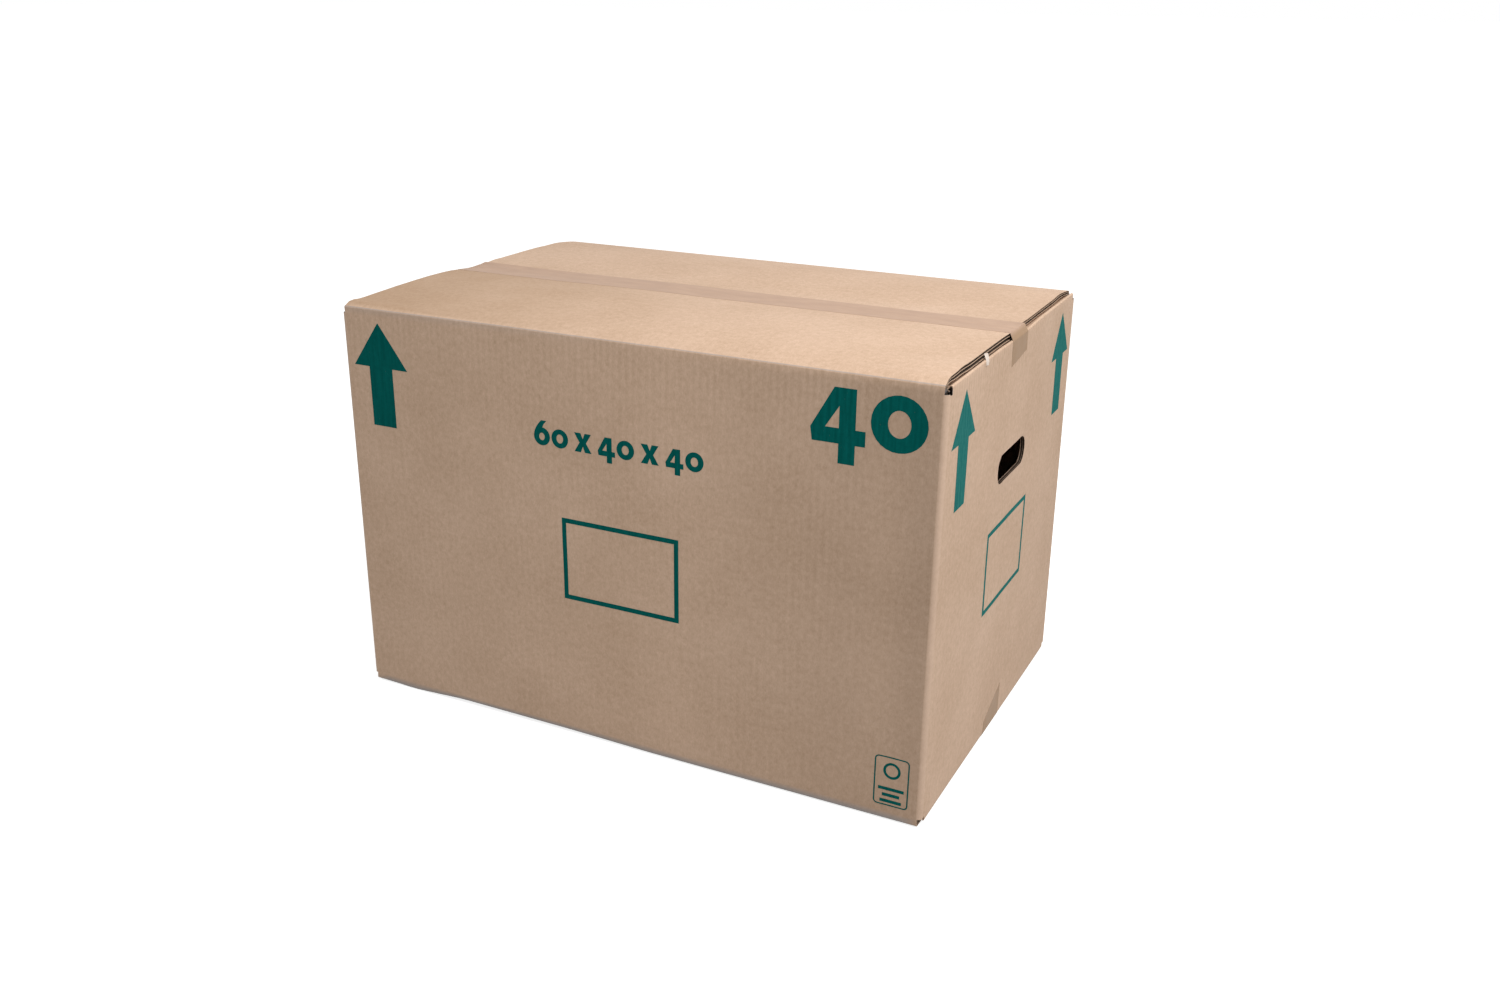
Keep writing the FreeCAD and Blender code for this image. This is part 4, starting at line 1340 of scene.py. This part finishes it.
def make_tape(name, surface, fold_crest, up, end_z, seed, material):
    rows = tape_strip(surface, fold_crest, up, end_z, seed)
    normals = tape_normals(rows)
    data = MeshData()
    layers = []
    for lift in (TAPE_LIFT, TAPE_FOOT):
        layer = []
        for row, line in zip(rows, normals):
            along = 0.0
            ids = []
            for n, ((x, y, z, end), normal) in enumerate(zip(row, line)):
                if n:
                    along += math.dist(row[n - 1][:3], (x, y, z))
                extra = wrinkle(x, y, z, end, seed) if up > 0 else 0.0
                outward = normal * up
                drop = bottom_hang(z, abs(x)) if up < 0 else 0.0
                place = Vector((x, y, z + drop)) + outward * (lift + extra)
                # Painted shade of the tape on the end walls
                on_wall = smooth(*DARK_FROM, up * (fold_crest - z)) if end else 0.0
                panel = "right" if end > 0 else "left"
                place.x += end * on_wall * wall_bulge(panel, end * y, z + drop)
                ids.append(data.add(place, (along, y), 0.0, on_wall))
            layer.append(ids)
        layers.append(layer)
    close_strip(data, layers, up)
    return data.make(name, material)


def close_strip(data, layers, up):
    """Faces of a thin strip from its two layers of points."""
    top, foot = layers

    def face(*ids):
        data.faces.append(ids if up > 0 else ids[::-1])

    for r in range(len(top) - 1):
        for n in range(len(top[0]) - 1):
            face(top[r][n], top[r][n + 1], top[r + 1][n + 1], top[r + 1][n])
            face(foot[r][n], foot[r + 1][n], foot[r + 1][n + 1], foot[r][n + 1])
        face(top[r][0], top[r + 1][0], foot[r + 1][0], foot[r][0])
        face(top[r][-1], foot[r][-1], foot[r + 1][-1], top[r + 1][-1])
    for n in range(len(top[0]) - 1):
        face(top[0][n], foot[0][n], foot[0][n + 1], top[0][n + 1])
        face(top[-1][n], top[-1][n + 1], foot[-1][n + 1], foot[-1][n])


def bottom_height(x, y):
    return -crest_height(BOTTOM_SHAPE, abs(y))


SCRAP_TOP = Vector((297.0, -98.5, 401.0)) * MM
SCRAP_FOOT = Vector((300.6, -103.6, 392.4)) * MM
SCRAP_ACROSS = Vector((2.3, 2.7, 0.4)) * MM
SCRAP_OUT = Vector((0.755, -0.656, 0.0))


def make_scrap(material):
    """A torn, curled scrap of paper caught below the front top flap."""
    data = MeshData()
    columns, steps = 6, 12
    layers = []
    for lift in (0.25 * MM, 0.03 * MM):
        layer = []
        for n in range(columns + 1):
            share = n / columns
            ids = []
            for k in range(steps + 1):
                down = k / steps
                point = SCRAP_TOP.lerp(SCRAP_FOOT, down)
                point += SCRAP_ACROSS * (share - 0.5) * (1.05 - 0.3 * down)
                tear = 0.8 * MM * soft_noise(share, 2.0, 9.0, 5)
                point.z += tear * (1 if k == steps else down * down)
                curl = 1.5 * MM * math.sin(math.pi * down) + 0.5 * MM * (2 * share - 1) ** 2
                point += SCRAP_OUT * (lift + curl)
                ids.append(data.add(point, (share * 5 * MM, down * 13 * MM), 0.0))
            layer.append(ids)
        layers.append(layer)
    close_strip(data, layers, 1)
    return data.make("paper_scrap_bent", material)


# Materials


class Nodes:
    """Small helper that adds shader nodes and joins them."""

    def __init__(self, name):
        self.material = bpy.data.materials.new(name)
        self.material.use_nodes = True
        self.tree = self.material.node_tree
        self.tree.nodes.clear()
        self.output = self.tree.nodes.new("ShaderNodeOutputMaterial")
        self.shader = self.tree.nodes.new("ShaderNodeBsdfPrincipled")
        self.tree.links.new(self.shader.outputs[0], self.output.inputs[0])

    def join(self, source, target):
        self.tree.links.new(source, target)

    def feed(self, target, value):
        if isinstance(value, bpy.types.NodeSocket):
            self.join(value, target)
        else:
            target.default_value = value

    def attribute(self, name):
        node = self.tree.nodes.new("ShaderNodeAttribute")
        node.attribute_name = name
        return node.outputs["Vector"]

    def split(self, vector):
        node = self.tree.nodes.new("ShaderNodeSeparateXYZ")
        self.join(vector, node.inputs[0])
        return node.outputs

    def math(self, operation, one, two=0.0, clamp=False):
        node = self.tree.nodes.new("ShaderNodeMath")
        node.operation = operation
        node.use_clamp = clamp
        self.feed(node.inputs[0], one)
        self.feed(node.inputs[1], two)
        return node.outputs[0]

    def times(self, one, two):
        return self.math("MULTIPLY", one, two)

    def total(self, *parts, clamp=False):
        """Sum of its parts, kept between 0 and 1 where clamp is set."""
        result = parts[0]
        for part in parts[1:-1]:
            result = self.math("ADD", result, part)
        return self.math("ADD", result, parts[-1], clamp)

    def scaled(self, vector, scale):
        node = self.tree.nodes.new("ShaderNodeVectorMath")
        node.operation = "MULTIPLY"
        self.join(vector, node.inputs[0])
        node.inputs[1].default_value = scale
        return node.outputs[0]

    def noise(self, vector, scale, detail=2.0, roughness=0.5, distortion=0.0):
        node = self.tree.nodes.new("ShaderNodeTexNoise")
        self.join(vector, node.inputs["Vector"])
        node.inputs["Scale"].default_value = scale
        node.inputs["Detail"].default_value = detail
        node.inputs["Roughness"].default_value = roughness
        node.inputs["Distortion"].default_value = distortion
        return node.outputs["Fac"]

    def ramp(self, factor, low, high, to_low=0.0, to_high=1.0):
        node = self.tree.nodes.new("ShaderNodeMapRange")
        self.join(factor, node.inputs["Value"])
        for name, value in (("From Min", low), ("From Max", high), ("To Min", to_low), ("To Max", to_high)):
            node.inputs[name].default_value = value
        return node.outputs["Result"]

    def mix(self, factor, one, two):
        node = self.tree.nodes.new("ShaderNodeMix")
        node.data_type = "RGBA"
        self.feed(node.inputs["Factor"], factor)
        for socket, value in zip([i for i in node.inputs if i.type == "RGBA"], (one, two)):
            if isinstance(value, bpy.types.NodeSocket):
                self.join(value, socket)
            else:
                socket.default_value = (*value, 1.0)
        return next(o for o in node.outputs if o.type == "RGBA")

    def bump(self, height, distance):
        node = self.tree.nodes.new("ShaderNodeBump")
        node.inputs["Distance"].default_value = distance
        node.inputs["Strength"].default_value = 1.0
        self.join(height, node.inputs["Height"])
        return node.outputs[0]

    def finish(self, colour, roughness, normal, specular):
        self.feed(self.shader.inputs["Base Color"], colour)
        self.feed(self.shader.inputs["Roughness"], roughness)
        self.shader.inputs["Specular IOR Level"].default_value = specular
        self.join(normal, self.shader.inputs["Normal"])
        return self.material


KRAFT_DARK = (0.47, 0.315, 0.208)
KRAFT_LIGHT = (0.67, 0.476, 0.345)
# Painted highlight of the rounded upright folds of the walls
FOLD_HIGHLIGHT = (0.66, 0.48, 0.365)
# Painted shade in the hollows of the cut edges
EDGE_SHADE = (0.042, 0.025, 0.016)
# Painted shade of the front wall beside its right fold
FOLD_SIDE_SHADE = (0.10, 0.06, 0.04)
# Painted shade of the left end of the front top flap
LEFT_FLAP_SHADE = (0.27, 0.15, 0.06)
# Grey of the painted shade along the front folds
CREASE_SHADE = (0.33, 0.30, 0.29)
# Painted shade in the top corner slots
SLOT_SHADE = (0.012, 0.009, 0.007)
FLECK = (0.27, 0.17, 0.10)
LONG_WALL_INK = ((0.0002, 0.083, 0.074), (0.0015, 0.125, 0.113))
END_WALL_INK = ((0.014, 0.140, 0.128), (0.040, 0.215, 0.190))
TAPE_DARK = (0.42, 0.272, 0.188)
TAPE_LIGHT = (0.50, 0.338, 0.242)
# Painted shade of the tape where it turns down the end walls
TAPE_SHADE_ON_WALL = (0.335, 0.212, 0.122)
PAPER_PALE = (0.68, 0.59, 0.52)
PAPER_DARK = (0.56, 0.48, 0.41)

# How strongly each mark colours the board; all but the flecks are painted highlight or painted shade
FLECK_SHARE, FOLD_SIDE_SHADE_SHARE, LEFT_FLAP_SHADE_SHARE = 0.45, 0.22, 0.40
FOLD_HIGHLIGHT_SHARE, EDGE_SHADE_SHARE = 0.45, 0.95

FLUTE_TURNS = 2 * math.pi / FINE_PITCH


def flute_wave(nodes, blank):
    """Faint washboard of the fluted layer, from -1 to 1, fading in and out."""
    s, t = nodes.split(blank)[:2]
    drift = nodes.noise(nodes.scaled(blank, (6, 3, 0)), 1.0, 2.0)
    wave = nodes.math("SINE", nodes.total(nodes.times(s, FLUTE_TURNS), nodes.times(drift, 6.0)))
    strength = nodes.ramp(nodes.noise(nodes.scaled(blank, (14, 5, 0)), 1.0, 3.0), 0.35, 0.7, 0.15, 1.0)
    patch = nodes.ramp(nodes.noise(nodes.scaled(blank, (55, 25, 0)), 1.0, 2.0), 0.35, 0.65, 0.2, 1.0)
    below = nodes.times(patch, nodes.ramp(t, SLOT_TOP - 40 * MM, SLOT_TOP - 3 * MM, 0.0, 1.5))
    above = nodes.ramp(t, SLOT_TOP + 4 * MM, SLOT_TOP + 14 * MM, 1.0, 0.15)
    return nodes.times(wave, nodes.times(nodes.total(strength, below), above))


FRONT_PLACES = [c["s"] for c in COLUMNS if c["kind"] == "panel" and c["panel"] == "front"]
FRONT_LEFT_FOLD, FRONT_RIGHT_FOLD = min(FRONT_PLACES), max(FRONT_PLACES)


def painted_shade_beside_fold(nodes, blank):
    """Painted shade: the darker strip of the front wall beside its right fold."""
    s, t = nodes.split(blank)[:2]
    strip = nodes.ramp(s, FRONT_RIGHT_FOLD - 240 * MM, FRONT_RIGHT_FOLD - 8 * MM)
    strip = nodes.times(strip, nodes.ramp(s, FRONT_RIGHT_FOLD - 1 * MM, FRONT_RIGHT_FOLD, 1.0, 0.0))
    return nodes.times(strip, nodes.ramp(t, SLOT_TOP, SLOT_TOP + 6 * MM, 1.0, 0.0))


def painted_shade_left_flap(nodes, blank):
    """Painted shade: the browner left end of the front top flap."""
    s, t = nodes.split(blank)[:2]
    part = nodes.ramp(s, FRONT_LEFT_FOLD + 330 * MM, FRONT_LEFT_FOLD + 50 * MM)
    part = nodes.times(part, nodes.ramp(s, FRONT_LEFT_FOLD - 20 * MM, FRONT_LEFT_FOLD - 19 * MM))
    return nodes.times(part, nodes.ramp(t, SLOT_TOP + 6 * MM, SLOT_TOP + 14 * MM))


def board_material():
    nodes = Nodes("kraft_board")
    blank = nodes.attribute("blank")
    marks = nodes.split(nodes.attribute("marks"))
    blotch = nodes.noise(blank, 11, 4.0, 0.6)
    cloud = nodes.noise(blank, 170, 4.0, 0.65)
    fibre = nodes.noise(nodes.scaled(blank, (900, 330, 900)), 1.0, 3.0, 0.6, 0.8)
    cross_fibre = nodes.noise(nodes.scaled(blank, (300, 1050, 700)), 1.0, 2.0, 0.6, 0.6)
    wave = flute_wave(nodes, blank)
    layers = [
        nodes.times(nodes.ramp(layer, 0.3, 0.7, -0.5, 0.5), share)
        for layer, share in ((blotch, 0.30), (cloud, 0.46), (fibre, 0.45))]
    tone = nodes.total(*layers, nodes.times(wave, 0.055), 0.5, clamp=True)
    colour = nodes.mix(tone, KRAFT_DARK, KRAFT_LIGHT)
    # Over the tone: fibre flecks, then painted shade beside the front's right fold and on the left end of
    # the front top flap, painted highlight on the upright folds, painted shade in the cut edges, along the
    # front folds and in the top corner slots
    for share, shade in (
            (nodes.ramp(cross_fibre, 0.70, 0.80, 0.0, FLECK_SHARE), FLECK),
            (nodes.times(painted_shade_beside_fold(nodes, blank), FOLD_SIDE_SHADE_SHARE), FOLD_SIDE_SHADE),
            (nodes.times(painted_shade_left_flap(nodes, blank), LEFT_FLAP_SHADE_SHARE), LEFT_FLAP_SHADE),
            (nodes.times(marks[0], FOLD_HIGHLIGHT_SHARE), FOLD_HIGHLIGHT),
            (nodes.times(marks[1], EDGE_SHADE_SHARE), EDGE_SHADE),
            (nodes.ramp(marks[2], 0.0, 0.5), CREASE_SHADE),
            (nodes.ramp(marks[2], 0.5, 1.0), SLOT_SHADE)):
        colour = nodes.mix(share, colour, shade)
    height = nodes.total(nodes.times(wave, 0.015), nodes.times(cloud, 0.032), nodes.times(fibre, 0.03))
    roughness = nodes.ramp(blotch, 0.3, 0.7, 0.78, 0.68)
    return nodes.finish(colour, roughness, nodes.bump(height, MM), 0.35)


def ink_material(name, dark, light):
    nodes = Nodes(name)
    blank = nodes.attribute("blank")
    wave = flute_wave(nodes, blank)
    cloud = nodes.noise(blank, 210, 4.0, 0.7)
    streak = nodes.noise(nodes.scaled(blank, (420, 26, 1)), 1.0, 3.0, 0.6)
    tone = nodes.total(
        nodes.times(wave, 0.10), nodes.ramp(streak, 0.35, 0.7, -0.25, 0.35),
        nodes.ramp(cloud, 0.35, 0.7, 0.12, 0.5), clamp=True)
    colour = nodes.mix(tone, dark, light)
    bare = nodes.ramp(nodes.noise(nodes.scaled(blank, (700, 240, 1)), 1.0, 2.0, 0.7), 0.70, 0.82, 0.0, 0.25)
    colour = nodes.mix(bare, colour, KRAFT_DARK)
    height = nodes.total(nodes.times(wave, 0.030), nodes.times(cloud, 0.08))
    return nodes.finish(colour, 0.8, nodes.bump(height, MM), 0.03)


def tape_material():
    nodes = Nodes("parcel_tape")
    blank = nodes.attribute("blank")
    cloud = nodes.noise(nodes.scaled(blank, (30, 90, 1)), 1.0, 3.0, 0.6)
    ripple = nodes.noise(nodes.scaled(blank, (520, 40, 1)), 1.0, 2.0, 0.5)
    crease = nodes.noise(nodes.scaled(blank, (60, 380, 1)), 1.0, 3.0, 0.6)
    colour = nodes.mix(nodes.ramp(cloud, 0.3, 0.7), TAPE_DARK, TAPE_LIGHT)
    # The tape on the end walls is painted darker: painted shade
    on_wall = nodes.split(nodes.attribute("marks"))[0]
    colour = nodes.mix(nodes.times(on_wall, 0.9), colour, TAPE_SHADE_ON_WALL)
    height = nodes.total(nodes.times(ripple, 0.05), nodes.times(crease, 0.05))
    roughness = nodes.ramp(cloud, 0.3, 0.7, 0.48, 0.60)
    return nodes.finish(colour, roughness, nodes.bump(height, MM), 0.18)


def paper_material():
    nodes = Nodes("pale_paper")
    blank = nodes.attribute("blank")
    grain = nodes.noise(blank, 900, 4.0, 0.7)
    colour = nodes.mix(nodes.ramp(grain, 0.3, 0.7), PAPER_DARK, PAPER_PALE)
    return nodes.finish(colour, 0.8, nodes.bump(grain, 0.05 * MM), 0.3)


SEEN_RAYS = ("Is Camera Ray", "Is Glossy Ray", "Is Transmission Ray")

# Greys of the floor: for the light it sends back, and where it is seen
FLOOR_BOUNCE = (0.42, 0.42, 0.42)
FLOOR_SEEN = (0.55, 0.55, 0.55)
FLOOR_GLOW = 0.78
FLOOR_HALF_SIZE = 30.0
FLOOR_DROP = 0.3 * MM


def floor_material():
    """White where it is seen, a mid grey for the light it sends back."""
    nodes = Nodes("pale_floor")
    path = nodes.tree.nodes.new("ShaderNodeLightPath")
    seen = nodes.total(*(path.outputs[ray] for ray in SEEN_RAYS), clamp=True)
    nodes.join(nodes.mix(seen, FLOOR_BOUNCE, FLOOR_SEEN), nodes.shader.inputs["Base Color"])
    nodes.shader.inputs["Roughness"].default_value = 0.9
    nodes.shader.inputs["Specular IOR Level"].default_value = 0.0
    nodes.shader.inputs["Emission Color"].default_value = (1, 1, 1, 1)
    nodes.join(nodes.times(seen, FLOOR_GLOW), nodes.shader.inputs["Emission Strength"])
    return nodes.material


# Stage, lights and camera


def make_floor():
    mesh = bpy.data.meshes.new("floor")
    size = FLOOR_HALF_SIZE
    corners = [(-size, -size, 0), (size, -size, 0), (size, size, 0), (-size, size, 0)]
    mesh.from_pydata(corners, [], [(0, 1, 2, 3)])
    mesh.materials.append(floor_material())
    item = place_object("floor", mesh)
    item.location.z = -FLOOR_DROP


AMBIENT = 0.60
KEY_POWER = 26.8
KEY_PLACE = Vector((1.0, -0.45, 1.75))
KEY_TARGET = Vector((0.0, 0.0, 0.3))
KEY_SIZE = 1.3


def make_lights():
    lamp = bpy.data.lights.new("key", "AREA")
    lamp.shape = "DISK"
    lamp.energy = KEY_POWER
    lamp.size = KEY_SIZE
    item = place_object("key", lamp)
    item.location = KEY_PLACE
    item.rotation_mode = "QUATERNION"
    item.rotation_quaternion = (KEY_PLACE - KEY_TARGET).to_track_quat("Z", "Y")
    item.visible_camera = False
    world = bpy.data.worlds.new("studio")
    world.use_nodes = True
    tree = world.node_tree
    path = tree.nodes.new("ShaderNodeLightPath")
    background = next(n for n in tree.nodes if n.type == "BACKGROUND")
    seen = path.outputs[SEEN_RAYS[0]]
    for ray in SEEN_RAYS[1:]:
        either = tree.nodes.new("ShaderNodeMath")
        either.operation = "MAXIMUM"
        tree.links.new(seen, either.inputs[0])
        tree.links.new(path.outputs[ray], either.inputs[1])
        seen = either.outputs[0]
    strength = tree.nodes.new("ShaderNodeMapRange")
    strength.inputs["To Min"].default_value = AMBIENT
    strength.inputs["To Max"].default_value = 1.0
    tree.links.new(seen, strength.inputs["Value"])
    background.inputs["Color"].default_value = (1, 1, 1, 1)
    tree.links.new(strength.outputs[0], background.inputs["Strength"])
    bpy.context.scene.world = world


CAMERA_PLACE = Vector((0.6103, -1.1977, 0.6892))
CAMERA_TURN = math.radians(26.85)
CAMERA_TILT = math.radians(20.87)
CAMERA_ROLL = math.radians(0.386)
IMAGE_WIDTH, IMAGE_HEIGHT = 1500, 1000
FOCAL_PIXELS = 1391.2
AXIS_X, AXIS_Y = 722.4, 509.2


def make_camera():
    data = bpy.data.cameras.new("camera")
    data.sensor_fit = "HORIZONTAL"
    data.sensor_width = 36.0
    data.lens = FOCAL_PIXELS / IMAGE_WIDTH * data.sensor_width
    data.shift_x = (IMAGE_WIDTH / 2 - AXIS_X) / IMAGE_WIDTH
    data.shift_y = (AXIS_Y - IMAGE_HEIGHT / 2) / IMAGE_WIDTH
    data.clip_start = 0.05
    item = place_object("camera", data)
    turn = Matrix.Rotation(CAMERA_TURN, 4, "Z")
    tilt = Matrix.Rotation(math.pi / 2 - CAMERA_TILT, 4, "X")
    roll = Matrix.Rotation(CAMERA_ROLL, 4, "Z")
    item.matrix_world = Matrix.Translation(CAMERA_PLACE) @ turn @ tilt @ roll
    bpy.context.scene.camera = item


def attach(piece, node):
    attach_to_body(piece, "root")
    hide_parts(node)


def make_box():
    board = board_material()
    ink = ink_material("long_wall_ink", *LONG_WALL_INK)
    end_ink = ink_material("end_wall_ink", *END_WALL_INK)
    tape = tape_material()
    attach(make_carton(board), "carton")
    long_wall = long_wall_shapes(), ink
    end_wall = end_wall_shapes(), end_ink
    for panel, node, (shapes, colour) in (
            ("front", "front_print", long_wall), ("back", "back_print", long_wall),
            ("right", "right_end_print", end_wall), ("left", "left_end_print", end_wall)):
        attach(make_print("%s_ink" % panel, panel, shapes, colour), node)
    top = make_tape(
        "top_tape_strip", top_height, END_TOP + END_RISE + fold_lip(0.0, LENGTH / 2), 1,
        (HEIGHT - 30.4 * MM, HEIGHT - 24.6 * MM), 2.0, tape)
    attach(top, "top_tape")
    bottom = make_tape(
        "bottom_tape_strip", bottom_height, END_BOTTOM, -1, (22 * MM, 40 * MM), 6.0, tape)
    attach(bottom, "bottom_tape")
    attach(make_scrap(paper_material()), "paper_scrap")


make_box()
make_floor()
make_lights()
make_camera()
bpy.context.scene.view_settings.view_transform = "Standard"
